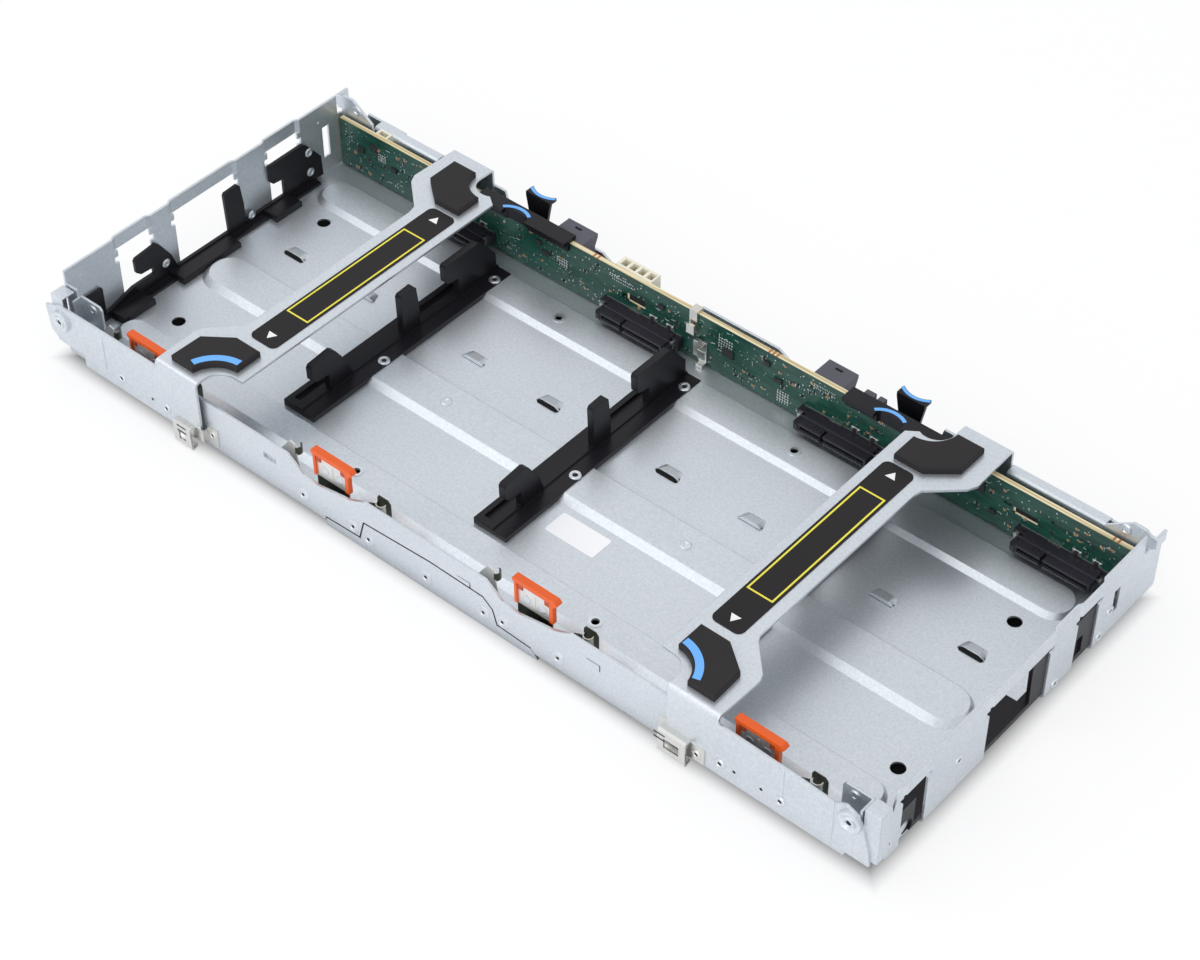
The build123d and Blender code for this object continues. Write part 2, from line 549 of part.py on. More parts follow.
def lever_pins():
    reach = CHEEK_GAP / 2 + CHEEK_T
    return [peg_x(c - reach, c + reach, LEVER_PIN_Y, LEVER_PIN_Z, LEVER_PIN_R) for c in lever_centres()]


def release_lever(c):
    """Tall sprung lever: hinge barrel, web, flaring blade and a scooped finger tab on top."""
    half = CHEEK_GAP / 2 - LEVER_SIDE_GAP
    barrel = peg_x(c - half, c + half, LEVER_PIN_Y, LEVER_PIN_Z, LEVER_PIN_R + 1.5)
    web = plate_yz([(LEVER_PIN_Y - 0.6, LEVER_PIN_Z + 1.8), (LEVER_FACE_Y, 12.5), (LEVER_FACE_Y + 1.7, 11.5),
                    (LEVER_PIN_Y + 2.4, LEVER_PIN_Z + 0.2)], c - 5, c + 5)
    blade = plate_xz([(c - 5, 11.5), (c - 5.2, 18), (c - 6.8, LEVER_TOP - 2), (c - 6.8, LEVER_TOP),
                      (c + 6.8, LEVER_TOP), (c + 6.8, LEVER_TOP - 2), (c + 5.2, 18), (c + 5, 11.5)],
                     LEVER_FACE_Y, LEVER_FACE_Y + 1.6)
    tab = block(c - 6.8, c + 6.8, LEVER_FACE_Y, LEVER_FACE_Y + 4.6, LEVER_TOP - 1.5, LEVER_TOP)
    tab = tab - peg_z(c, LEVER_FACE_Y + 12.2, LEVER_TOP - 8, LEVER_TOP + 4, 9.8)
    body = fuse([barrel, web, blade, tab])
    return body - peg_x(c - 9, c + 9, LEVER_PIN_Y, LEVER_PIN_Z, LEVER_PIN_R + LEVER_BORE_GAP)


def rear_data_connectors():
    group, y, top = [], BOARD_BACK_Y, BOARD_TOP - 0.1
    for x0, x1 in ((divider_x(1) + 21.3, divider_x(1) + 37.5), (divider_x(3) - 50.1, divider_x(3) - 35.5)):
        middle = (x0 + x1) / 2
        body = plate_yz([(y, 8), (y, top), (y + 10.5, top), (y + 10.5, top - 1.6), (y + 8.6, 20),
                         (y + 8.6, 8)], x0, x1)
        body = body - block(middle - 2.2, middle + 1.4, y + 7, y + 8.3, 7, 28)
        group.append(body - block(x0 + 2, x1 - 2, y + 2.6, y + 6.1, 7, 24))
    return group


def rear_power_connector():
    x, y = bay_x(1) + 3.45, BOARD_BACK_Y
    body = block(x, x + 19.3, y, y + 6.5, 12, 26)
    for k in range(4):
        body = body - block(x + 1.5 + k * 4.6, x + 4.7 + k * 4.6, y + 1.3, y + 5.3, 14, 27)
    return body


def rear_header():
    x, y = -HALF + 21, BOARD_BACK_Y
    return block(x, x + 7, y, y + 4.5, 14, 25) - block(x + 1.2, x + 5.8, y + 1.1, y + 3.5, 16, 26)


def rear_small_clips():
    """Two grey latches behind the board: one on the board, one on the back of the board clip."""
    group, top, y = [], BOARD_TOP - 0.5, BOARD_BACK_Y
    for x, front, width in ((divider_x(3) - 28.0, y, 4.6), (divider_x(3) - 21.5, y + 1.5, 3.2)):
        corners = [(front, 16), (front, top), (y + 6.4, top), (y + 6.4, top - 3.4), (y + 4.0, 16)]
        group.append(plate_yz(corners, x, x + width))
    return group


def board_hook():
    """Sheet hook over the board's top edge, with a finger that turns out and up in front."""
    x, y, b, top = divider_x(2) - 6.4, BOARD_Y, BOARD_BACK_Y, BOARD_TOP
    strap = plate_yz([(y - 1, 16), (y - 1, top + 1.3), (b + 1, top + 1.3), (b + 1, 18), (b, 18), (b, top),
                      (y, top), (y, 16)], x, x + 4)
    finger = [(y - 0.5, 16), (y - 3, 16), (y - 3, 21), (y - 2, 21), (y - 2, 17), (y - 0.5, 17)]
    return strap + plate_yz(finger, x, x + 4)


def board_chips():
    """Larger components on the board's front face: bay, place from its middle, height, size."""
    group = []
    for i, dx, z, w, h in ((0, -37.8, 15, 3.6, 3), (0, -29.8, 19, 4.6, 3.4), (0, -17.8, 13, 3, 2.2),
                           (1, -37.2, 18, 3, 2), (1, -33.2, 14, 4.4, 2), (1, 30.8, 19, 3, 2),
                           (2, -38.8, 14, 5.4, 4.2), (2, -18.8, 20, 3, 2.2), (2, -12.8, 14, 4, 2),
                           (3, -55.2, 18, 4, 3), (3, -46.2, 12, 3, 2), (3, -19.2, 17, 4.6, 4.6),
                           (3, -12.2, 8, 3, 2), (3, 47, 20, 3, 2)):
        x = bay_x(i) + dx
        group.append(block(x - w / 2, x + w / 2, BOARD_Y - 0.9, BOARD_Y, z - h / 2, z + h / 2))
    return group


# Ears, outer clips, spacers

def corner_ear_rear(side):
    """Bracket behind the board at a rear corner: plate, side flange and outward tab."""
    e, y, r = HALF, BOARD_BACK_Y + 1.1, REAR_WALL_Y
    corners = [(-e, 20), (-e, 34.4), (-e + 1.5, 35.7), (-e + 7, 35.9), (-e + 18.5, 27.8), (-e + 19, 24),
               (-e + 12, 21)]
    plate = plate_xz(corners, y, y + SHEET_T)
    plate = plate + block(-e, -e + 1.0, y, r, 4, 24)
    plate = plate + block(-e, -e + 6.2, r - 1.2, r, 8, 21)
    plate = plate + block(-e - 2.6, -e + 0.4, y, y + SHEET_T, 28, 34)
    plate = plate + block(-e - 3.6, -e - 2.4, y, y + 7, 29, 34)
    return plate if side < 0 else mirror(plate, Plane.YZ)


def corner_ear_front(side):
    """Bracket at a front corner: plate behind the end section and a forward-folded tab."""
    e = HALF
    y = (RIGHT_WALL_FRONT if side > 0 else LEFT_WALL_FRONT) + PAN_T
    tab_front = y - 6.6 if side > 0 else WALL_BACK_Y + PAN_T
    corners = [(e - 19.6, 6), (e - 19.6, 25), (e - 18.4, 26.5), (e - 6.8, 26.5), (e - 4, 24), (e - 0.2, 24),
               (e - 0.2, 6)]
    plate = plate_xz(corners, y, y + PAN_T)
    plate = plate + block(e - EAR_TAB_IN - 1, e - EAR_TAB_IN, tab_front, y + 0.5, 10.7, 26.3)
    return plate if side > 0 else mirror(plate, Plane.YZ)


def end_spacers():
    """Shoulders that hold each end section off the front wall."""
    places = [(-HALF + 21, 8.6), (-HALF + 46, 5.6), (mirrored(BRIDGE_X + 21), 7.5), (HALF - 40, 6.2),
              (HALF - 61, 6.0), (HALF - 26, 8.0)]
    return [peg_y(x, END_BACK_Y, WALL_FRONT_Y, z, 2.6) for x, z in places]


def outer_clip(left):
    """Bent spring clip: open box bowed forward with a fastening tab on the wall side."""
    middle, width = (mirrored(BRIDGE_X + 9.5), 10.0) if left else (BRIDGE_X + 6.5, 13.0)
    x0, x1 = middle - width / 2, middle + width / 2
    z0, z1 = (-6.0, 6.0) if left else (-4.0, 9.0)
    y, wall = END_FRONT_Y, WALL_FRONT_Y
    profile = [(y, z0 + 1), (y - 2.6, z0), (y - 3.4, z0 + 1), (y - 3.4, z1 - 1), (y - 2.6, z1), (y, z1 - 0.4),
               (y, z1 - 1.4), (y - 2.2, z1 - 1.2), (y - 2.6, z1 - 1.8), (y - 2.6, z0 + 1.8), (y - 2.2, z0 + 1.0),
               (y, z0 + 2)]
    body = plate_yz(profile, x0, x1)
    window = rect(x0 + 3, x1 - 3, (z0 + z1) / 2 - 2.6, (z0 + z1) / 2 + 2.2)
    body = body - plate_xz(window, y - 5, y - 1.8)
    body = body + plate_xz(rect(x0, x1, -0.6, z1 - 0.4), y - 0.6, y)
    if left:
        step = block(x1 - 0.2, x1 + 5, y - 0.6, y, 0, 6) + block(x1 + 4.4, x1 + 5, y - 0.6, wall, 0, 6)
        return body + step + block(x1 + 4.4, x1 + 10.4, wall - 0.6, wall, -2, 7.4)
    tab = block(x1 - 0.2, x1 + 6.5, y - 0.6, y, 0, 8)
    wing = block(x0 - 4, x0 + 0.7, wall - 0.6, wall, -2, 8)
    return body + tab + wing + block(x0 + 0.1, x0 + 0.7, y - 0.6, wall, 0, 6)


def floor_label():
    return extrude(Pos(divider_x(2) + 25.5, -27.6, 0) * Rectangle(27, 15), 0.2)


# Write the parts

def pieces():
    parts = {"tray_pan": tray_pan(), "front_wall": front_wall(), "lower_front_plate": lower_front_plate(),
             "rear_wall": rear_wall(), "left_bridge": bridge(True), "right_bridge": bridge(False),
             "side_guide_left": side_guide(-1), "side_guide_right": side_guide(1),
             "backplane_board": backplane_board(), "board_chips": board_chips(), "board_hook": board_hook(),
             "rear_data_connectors": rear_data_connectors(), "rear_power_connector": rear_power_connector(),
             "rear_header": rear_header(), "rear_small_clips": rear_small_clips(),
             "lever_pins": lever_pins(), "left_contact_springs": contact_springs(-1),
             "right_contact_springs": contact_springs(1), "outer_clip_left": outer_clip(True),
             "outer_clip_right": outer_clip(False), "label_left": strip_label(True),
             "label_right": strip_label(False), "end_spacers": end_spacers(), "floor_label": floor_label()}
    for name, left in (("left", True), ("right", False)):
        parts["pad_front_" + name] = pad(left, True)
        parts["pad_rear_" + name] = pad(left, False)
    for name, side in (("left", -1), ("right", 1)):
        parts["corner_ear_front_" + name] = corner_ear_front(side)
        parts["corner_ear_rear_" + name] = corner_ear_rear(side)
    for name, c in zip(("left", "right"), lever_centres()):
        parts["board_clip_" + name] = board_clip(c)
        parts["release_lever_" + name] = release_lever(c)
    for i in range(BAYS):
        parts["drive_connector_%d" % (i + 1)] = drive_connector(i)
        parts["release_leaf_%d" % (i + 1)] = release_leaf(i)
        parts["release_cap_%d" % (i + 1)] = release_cap(i)
    for i in range(1, BAYS):
        parts["drive_divider_%d" % i] = drive_divider(i)
    return parts


def solids_of(shape):
    if isinstance(shape, list):
        return [solid for piece in shape for solid in piece.solids()]
    return list(shape.solids())


made = {name: Compound(children=solids_of(shape)) for name, shape in pieces().items()}
whole = Compound(children=[Compound(children=solids_of(shape)) for shape in made.values()]).bounding_box()
home = Pos(-(whole.min.X + whole.max.X) / 2, -(whole.min.Y + whole.max.Y) / 2, -whole.min.Z)
os.makedirs("parts", exist_ok=True)
for name, shape in made.items():
    export_step(home * shape, "parts/" + name + ".step")
print("moved by", home.position)
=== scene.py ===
import json
import math
import random

import bpy
from mathutils import Matrix, Vector

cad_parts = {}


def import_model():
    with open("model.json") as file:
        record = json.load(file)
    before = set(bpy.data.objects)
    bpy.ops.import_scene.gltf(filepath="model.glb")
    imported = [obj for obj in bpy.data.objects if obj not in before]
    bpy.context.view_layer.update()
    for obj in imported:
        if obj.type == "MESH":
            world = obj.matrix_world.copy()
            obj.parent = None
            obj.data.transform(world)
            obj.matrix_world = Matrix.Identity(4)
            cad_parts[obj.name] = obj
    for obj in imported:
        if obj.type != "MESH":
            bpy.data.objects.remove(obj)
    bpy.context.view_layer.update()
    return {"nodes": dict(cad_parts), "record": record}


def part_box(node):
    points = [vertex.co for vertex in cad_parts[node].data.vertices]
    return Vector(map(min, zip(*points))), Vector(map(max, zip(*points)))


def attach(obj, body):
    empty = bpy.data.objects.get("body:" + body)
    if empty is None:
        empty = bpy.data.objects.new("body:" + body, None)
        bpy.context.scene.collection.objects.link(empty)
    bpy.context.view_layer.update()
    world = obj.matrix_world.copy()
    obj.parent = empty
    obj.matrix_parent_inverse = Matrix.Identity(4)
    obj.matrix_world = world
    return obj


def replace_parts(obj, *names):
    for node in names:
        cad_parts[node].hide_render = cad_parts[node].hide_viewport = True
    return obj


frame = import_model()
nodes = frame["nodes"]

# Places are in millimetres in the frame the part is designed in, where Z 0 is the top of the pan
# floor and X 0 the middle of the bays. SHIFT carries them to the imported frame, in metres.
MM = 0.001
DIVIDER_MIDDLE = -0.5
DIVIDER_FRONT = -50.5
low2, high2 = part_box("drive_divider_2")
SHIFT = Vector(((low2.x + high2.x) / 2 - DIVIDER_MIDDLE * MM, low2.y - DIVIDER_FRONT * MM,
                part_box("floor_label")[0].z))

BAYS = range(4)
BAY_PITCH = 105.5
BOARD_FACE = 80.5
BOARD_TOP = 25.9
CONNECTOR_FRONT = 70.5
WALL_FRONT = -84.2
END_FRONT = -87.0
PLATE_TOP = 30.0
LABEL_TOP = PLATE_TOP + 0.3
PAD_TOP = 33.0
LEVERS = {"left": -101.6, "right": 95.9}
# The left bridge mirrors the right one about MIRROR_X. SIDES says which is left, and its name.
MIRROR_X = -3.0
SIDES = ((False, "right"), (True, "left"))


def place(x, y, z):
    """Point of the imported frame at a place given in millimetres."""
    return Vector((x, y, z)) * MM + SHIFT


def bay(i):
    """Middle of a drive bay."""
    return (i - 1.5) * BAY_PITCH


def mirrored(x, left):
    """X of a place on a bridge, or of its mirror image when it is the left one."""
    return 2 * MIRROR_X - x if left else x


def rise(height):
    """Upward step of a height in millimetres."""
    return Vector((0, 0, height * MM))


LATCH_OFFSET = -1.05
LATCHES = [bay(i) + LATCH_OFFSET for i in BAYS]


# Materials

def tree(name):
    """New material with its node tree and its shader."""
    material = bpy.data.materials.new(name)
    material.use_nodes = True
    nt = material.node_tree
    return material, nt, nt.nodes["Principled BSDF"]


def noise(nt, scale, detail=2.0, stretch=(1, 1, 1)):
    """Noise fixed to the object, stretched along its axes."""
    coords = nt.nodes.new("ShaderNodeTexCoord")
    mapping = nt.nodes.new("ShaderNodeMapping")
    mapping.inputs["Scale"].default_value = stretch
    texture = nt.nodes.new("ShaderNodeTexNoise")
    texture.inputs["Scale"].default_value = scale
    texture.inputs["Detail"].default_value = detail
    nt.links.new(coords.outputs["Object"], mapping.inputs["Vector"])
    nt.links.new(mapping.outputs["Vector"], texture.inputs["Vector"])
    return texture.outputs["Fac"]


def ramp(nt, value, low, high, start=0.3, end=0.7):
    """Colour that goes from low to high as the value rises."""
    node = nt.nodes.new("ShaderNodeValToRGB")
    node.color_ramp.elements[0].position = start
    node.color_ramp.elements[1].position = end
    node.color_ramp.elements[0].color = (*low, 1)
    node.color_ramp.elements[1].color = (*high, 1)
    nt.links.new(value, node.inputs["Fac"])
    return node.outputs["Color"]


def spread(nt, value, low, high):
    """Number that goes from low to high as the value rises."""
    node = nt.nodes.new("ShaderNodeMapRange")
    node.inputs["To Min"].default_value = low
    node.inputs["To Max"].default_value = high
    nt.links.new(value, node.inputs["Value"])
    return node.outputs["Result"]


def blend(nt, first, second, share):
    """Mix of two colours."""
    node = nt.nodes.new("ShaderNodeMix")
    node.data_type = "RGBA"
    node.inputs["Factor"].default_value = share
    nt.links.new(first, node.inputs["A"])
    nt.links.new(second, node.inputs["B"])
    return node.outputs["Result"]


def bump(nt, shader, value, strength, distance, edge=0.0):
    """Fine relief, with edges that look rounded by the radius edge, in metres."""
    node = nt.nodes.new("ShaderNodeBump")
    if edge:
        rounded = nt.nodes.new("ShaderNodeBevel")
        rounded.samples = 4
        rounded.inputs["Radius"].default_value = edge
        nt.links.new(rounded.outputs["Normal"], node.inputs["Normal"])
    node.inputs["Strength"].default_value = strength
    node.inputs["Distance"].default_value = distance
    nt.links.new(value, node.inputs["Height"])
    nt.links.new(node.outputs["Normal"], shader.inputs["Normal"])


def zinc_steel():
    """Zinc-plated sheet: pale blue-grey, with a fine grain and soft cloudy gloss."""
    material, nt, shader = tree("zinc_steel")
    grain = noise(nt, 900, 3)
    cloud = noise(nt, 14, 3, (1, 1, 3))
    fine = ramp(nt, grain, (0.54, 0.585, 0.63), (0.74, 0.775, 0.81))
    broad = ramp(nt, cloud, (0.60, 0.645, 0.685), (0.70, 0.735, 0.77))
    nt.links.new(blend(nt, fine, broad, 0.5), shader.inputs["Base Color"])
    nt.links.new(spread(nt, cloud, 0.30, 0.44), shader.inputs["Roughness"])
    shader.inputs["Metallic"].default_value = 0.80
    bump(nt, shader, grain, strength=0.16, distance=0.00005, edge=0.0005)
    return material


def plain_metal(name, color, roughness, metallic=1.0, lines=(40, 1, 1)):
    """Metal with a faint grain, drawn out along X unless told otherwise."""
    material, nt, shader = tree(name)
    grain = noise(nt, 300, 3, lines)
    dark = tuple(c * 0.86 for c in color)
    nt.links.new(ramp(nt, grain, dark, color), shader.inputs["Base Color"])
    nt.links.new(spread(nt, grain, roughness - 0.06, roughness + 0.08), shader.inputs["Roughness"])
    shader.inputs["Metallic"].default_value = metallic
    return material


def plastic(name, color, roughness, grain_scale=1400, depth=0.00003, strength=0.25, lift=1.25,
            edge=0.0, gloss=0.5):
    """Moulded plastic, ink or film: fine grain, and a cloudy colour up to lift times as light."""
    material, nt, shader = tree(name)
    shader.inputs["Specular IOR Level"].default_value = gloss
    grain = noise(nt, grain_scale, 2)
    cloud = noise(nt, 30, 2)
    light = tuple(min(1.0, c * lift) for c in color)
    nt.links.new(ramp(nt, cloud, color, light), shader.inputs["Base Color"])
    nt.links.new(spread(nt, grain, roughness - 0.05, roughness + 0.07), shader.inputs["Roughness"])
    bump(nt, shader, grain, strength, depth, edge)
    return material


def board_green():
    """Solder mask over copper: dark green with slightly lighter track runs."""
    material, nt, shader = tree("green_board")
    tracks = noise(nt, 260, 2, (0.35, 1, 2.4))
    patch = noise(nt, 45, 3)
    lines = ramp(nt, tracks, (0.004, 0.040, 0.027), (0.012, 0.085, 0.058), 0.46, 0.54)
    broad = ramp(nt, patch, (0.004, 0.034, 0.024), (0.014, 0.078, 0.056))
    nt.links.new(blend(nt, lines, broad, 0.45), shader.inputs["Base Color"])
    shader.inputs["Roughness"].default_value = 0.28
    bump(nt, shader, tracks, strength=0.15, distance=0.00003)
    return material


def board_edge():
    """Cut edge of the laminate: beige with thin layers along its length."""
    material, nt, shader = tree("board_edge")
    layers = noise(nt, 900, 1, (0.02, 1, 1))
    color = ramp(nt, layers, (0.50, 0.40, 0.20), (0.78, 0.68, 0.46), 0.4, 0.6)
    nt.links.new(color, shader.inputs["Base Color"])
    shader.inputs["Roughness"].default_value = 0.6
    return material


# One material for each slot of the record, then those that only the small pieces here have.
MATERIALS = {
    "zinc_steel": zinc_steel(),
    "black_plastic": plastic("black_plastic", (0.0075, 0.007, 0.0095), 0.34, edge=0.0004, gloss=0.24),
    "connector_plastic": plastic("connector_plastic", (0.017, 0.016, 0.023), 0.40, edge=0.0003,
                                 gloss=0.35),
    "spring_steel": plain_metal("spring_steel", (0.74, 0.71, 0.64), 0.28),
    "orange_plastic": plastic("orange_plastic", (0.68, 0.094, 0.008), 0.36, lift=1.12, gloss=0.4),
    "clip_steel": plain_metal("clip_steel", (0.76, 0.76, 0.73), 0.33),
    "pad_plastic": plastic("pad_plastic", (0.017, 0.015, 0.016), 0.66, 2600, 0.00008, 0.5, 1.2,
                           0.0003, 0.28),
    "label_film": plastic("label_film", (0.013, 0.011, 0.012), 0.50, lift=1.1, gloss=0.22),
    "white_film": plastic("white_film", (0.90, 0.90, 0.92), 0.50, lift=1.02),
    "green_board": board_green(),
    "chip_plastic": plastic("chip_plastic", (0.018, 0.018, 0.020), 0.5),
    "bright_steel": plain_metal("bright_steel", (0.74, 0.78, 0.82), 0.30, 0.9, (1, 1, 1)),
    "grey_plastic": plastic("grey_plastic", (0.060, 0.060, 0.078), 0.45),
    "cream_plastic": plastic("cream_plastic", (0.74, 0.71, 0.58), 0.45, lift=1.08),
}
EXTRA = {
    "blue_mark": plastic("blue_mark", (0.13, 0.40, 0.86), 0.42, lift=1.08),
    "yellow_ink": plastic("yellow_ink", (0.78, 0.70, 0.06), 0.5, lift=1.05),
    "white_ink": plastic("white_ink", (0.82, 0.82, 0.82), 0.5, lift=1.02),
    "board_edge": board_edge(),
    "gold_pad": plain_metal("gold_pad", (0.86, 0.70, 0.34), 0.30),
    "solder": plain_metal("solder", (0.80, 0.80, 0.78), 0.30),
    "brown_part": plastic("brown_part", (0.30, 0.19, 0.09), 0.45),
    # Near black, for painted shade in screw and rivet holes, pierced openings, slots, seams and louvre
    # openings.
    "painted_shade": plastic("painted_shade", (0.004, 0.004, 0.005), 0.8),
    # Orange darkened as painted shade, for the latch caps' recessed tabs.
    "orange_in_shade": plastic("orange_in_shade", (0.40, 0.052, 0.012), 0.45, lift=1.1),
    # Nickel darkened as painted shade, for the latch leaves' lower ends and the contact springs' parts
    # behind.
    "nickel_in_shade": plain_metal("nickel_in_shade", (0.115, 0.118, 0.085), 0.30),
    "leaf_steel": plain_metal("leaf_steel", (0.80, 0.79, 0.76), 0.34, 0.75),
    "copper": plain_metal("copper", (0.55, 0.22, 0.08), 0.35),
}


def dress_nodes():
    """Give every node of the part the material of its slot."""
    for sub in frame["record"]["subparts"]:
        mesh = nodes[sub["node"]].data
        mesh.materials.clear()
        mesh.materials.append(MATERIALS[sub["material_slot"]])
        for polygon in mesh.polygons:
            polygon.material_index = 0


# Small pieces

AXES = {"x": (1, 0, 0), "-x": (-1, 0, 0), "-y": (0, -1, 0), "z": (0, 0, 1)}


def piece(name, points, faces, material, body):
    """Mesh object with one material, riding on a body."""
    mesh = bpy.data.meshes.new(name)
    mesh.from_pydata([tuple(p) for p in points], [], faces)
    mesh.update()
    mesh.materials.append(material)
    thing = bpy.data.objects.new(name, mesh)
    bpy.context.scene.collection.objects.link(thing)
    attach(thing, body)
    return thing


class Heap:
    """Points and faces of many small solids that make one piece."""

    def __init__(self):
        self.points, self.faces = [], []

    def prism(self, outline, out):
        """outline is a list of frame points, counter-clockwise seen from where out points."""
        start, n = len(self.points), len(outline)
        self.points += outline + [p + out for p in outline]
        self.faces.append(tuple(start + k for k in reversed(range(n))))
        self.faces.append(tuple(start + n + k for k in range(n)))
        for k in range(n):
            j = (k + 1) % n
            self.faces.append((start + k, start + j, start + n + j, start + n + k))

    def strip(self, inner, outer, out):
        """Band between two lines of equally many points, thickened by out."""
        for k in range(len(inner) - 1):
            self.prism([inner[k], outer[k], outer[k + 1], inner[k + 1]], out)

    def box(self, x0, x1, y0, y1, z0, z1):
        low = [place(x0, y0, z0), place(x1, y0, z0), place(x1, y1, z0), place(x0, y1, z0)]
        self.prism(low, rise(z1 - z0))

    def plate(self, corners, y0, y1):
        """Sheet with an outline in X and Z, counter-clockwise from the front, from y0 back to y1."""
        self.prism([place(x, y1, z) for x, z in corners], Vector((0, (y0 - y1) * MM, 0)))

    def disc_y(self, x, y, z, r, depth, sides):
        """Flat disc that faces the front."""
        turn = [2 * math.pi * k / sides for k in range(sides)]
        ring = [place(x + r * math.cos(t), y, z + r * math.sin(t)) for t in turn]
        self.prism(ring, Vector((0, -depth * MM, 0)))

    def lathe(self, at, axis, profile, sides):
        """Turned head on a surface: profile is (radius, height) in mm from the rim to the middle."""
        a = Vector(AXES[axis])
        u = a.orthogonal().normalized()
        v = a.cross(u)
        start = len(self.points)
        turn = [2 * math.pi * k / sides for k in range(sides)]
        for r, h in profile:
            if r > 0:
                self.points += [at + (u * math.cos(t) + v * math.sin(t)) * r * MM + a * h * MM
                                for t in turn]
            else:
                self.points.append(at + a * h * MM)
        self.faces.append(tuple(start + k for k in reversed(range(sides))))
        for i in range(len(profile) - 1):
            low = start + i * sides
            for k in range(sides):
                j = (k + 1) % sides
                if profile[i + 1][0] > 0:
                    self.faces.append((low + k, low + j, low + sides + j, low + sides + k))
                else:
                    self.faces.append((low + k, low + j, low + sides))

    def ring_z(self, x, y, z, r0, r1, depth, sides=28):
        """Flat ring that faces up."""
        turn = [2 * math.pi * k / sides for k in range(sides + 1)]
        inner = [place(x + r0 * math.cos(t), y + r0 * math.sin(t), z) for t in turn]
        outer = [place(x + r1 * math.cos(t), y + r1 * math.sin(t), z) for t in turn]
        self.strip(inner, outer, rise(depth))

    def done(self, name, material, body="tray", slot="zinc_steel"):
        return piece(name, self.points, self.faces, material, body)


def rect(x0, x1, z0, z1):
    return [(x0, z0), (x1, z0), (x1, z1), (x0, z1)]


def soften(thing, width=0.22):
    """Small bevel, in millimetres, on a piece's sharp edges."""
    edge = thing.modifiers.new("edge", "BEVEL")
    edge.width = width * MM
    edge.segments = 2
    edge.limit_method = "ANGLE"
    return thing


def arc_band(x, y, z, r0, r1, start, end, left=False, steps=24):
    """Two lines of points round an arc, for a printed band."""
    turns = [math.radians(start + (end - start) * k / steps) for k in range(steps + 1)]
    lines = []
    for r in (r0, r1):
        lines.append([place(mirrored(x + r * math.cos(t), left), y + r * math.sin(t), z) for t in turns])
    return lines if not left else [lines[1], lines[0]]


def circle_through(a, b, c):
    """Centre and radius of the circle through three points in a plane."""
    (ax, ay), (bx, by), (cx, cy) = a, b, c
    aa, bb, cc = ax * ax + ay * ay, bx * bx + by * by, cx * cx + cy * cy
    d = 2 * (ax * (by - cy) + bx * (cy - ay) + cx * (ay - by))
    ux = (aa * (by - cy) + bb * (cy - ay) + cc * (ay - by)) / d
    uy = (aa * (cx - bx) + bb * (ax - cx) + cc * (bx - ax)) / d
    return ux, uy, math.hypot(ax - ux, ay - uy)


PAD_SCOOP = ((111, -71), (118.9, -73.6), (124.5, -82.5))
PAD_ARC_ENDS = ((124.3, -81.0), (111.8, -70.9))
LABEL_FIELD = (110.9, 123.1, -31.5, 38.5)
STICKER = (14.2, 39.0, -35.1, -23.1)
INK = 0.06


def pad_arcs():
    """Light-blue bands beside the scooped corner of both front pads."""
    cx, cy, r = circle_through(*PAD_SCOOP)
    start, end = (math.degrees(math.atan2(y - cy, x - cx)) for x, y in PAD_ARC_ENDS)
    for left, side in SIDES:
        heap = Heap()
        inner, outer = arc_band(cx, cy, PAD_TOP, r + 1.0, r + 4.2, start, end, left)
        heap.strip(inner, outer, rise(0.12))
        heap.done("pad_arc_" + side, EXTRA["blue_mark"], slot="pad_plastic")


def label_prints():
    """Yellow outlined field and a white arrow at each end of both strip labels."""
    z, line = LABEL_TOP, 0.75
    x0, x1, y0, y1 = LABEL_FIELD
    for left, side in SIDES:
        field = Heap()
        for a0, a1, b0, b1 in ((x0, x1, y0, y0 + line), (x0, x1, y1 - line, y1),
                               (x0, x0 + line, y0 + line, y1 - line),
                               (x1 - line, x1, y0 + line, y1 - line)):
            xs = sorted((mirrored(a0, left), mirrored(a1, left)))
            field.box(xs[0], xs[1], b0, b1, z, z + INK)
        field.done("label_frame_" + side, EXTRA["yellow_ink"], slot="label_film")
        arrows = Heap()
        x = mirrored(117, left)
        for y, way in ((-46.5, -1), (51.0, 1)):
            base = y - way * 1.6
            ends = [place(x - 2.3 * way, base, z), place(x + 2.3 * way, base, z)]
            arrows.prism(ends + [place(x, y + way * 2.2, z)], rise(INK))
        arrows.done("label_arrows_" + side, EXTRA["white_ink"], slot="label_film")


def rounded_rect(x0, x1, y0, y1, z, r, steps=6):
    """Outline of a flat rectangle whose corners have the radius r."""
    points = []
    for cx, cy, start in ((x1 - r, y1 - r, 0), (x0 + r, y1 - r, 90), (x0 + r, y0 + r, 180),
                          (x1 - r, y0 + r, 270)):
        for k in range(steps + 1):
            t = math.radians(start + 90 * k / steps)
            points.append(place(cx + r * math.cos(t), cy + r * math.sin(t), z))
    return points


def floor_sticker():
    """Bare white sticker with rounded corners."""
    heap = Heap()
    heap.prism(rounded_rect(*STICKER, 0.0, 1.0), rise(0.2))
    sticker = heap.done("floor_sticker", MATERIALS["white_film"], slot="white_film")
    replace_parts(sticker, "floor_label")


def clip_arcs():
    """Blue bands on the board clips' scoops and on the levers' finger tabs."""
    for side, c in LEVERS.items():
        heap = Heap()
        inner, outer = arc_band(c, 72.0, 28.0, 9.6, 11.2, 55, 138)
        heap.strip(inner, outer, rise(0.1))
        heap.done("clip_arc_" + side, EXTRA["blue_mark"], slot="black_plastic")
        heap = Heap()
        inner, outer = arc_band(c, 104.9, 28.6, 10.1, 11.4, 231, 309)
        heap.strip(outer, inner, rise(0.1))
        heap.done("lever_arc_" + side, EXTRA["blue_mark"], body="lever_" + side, slot="black_plastic")


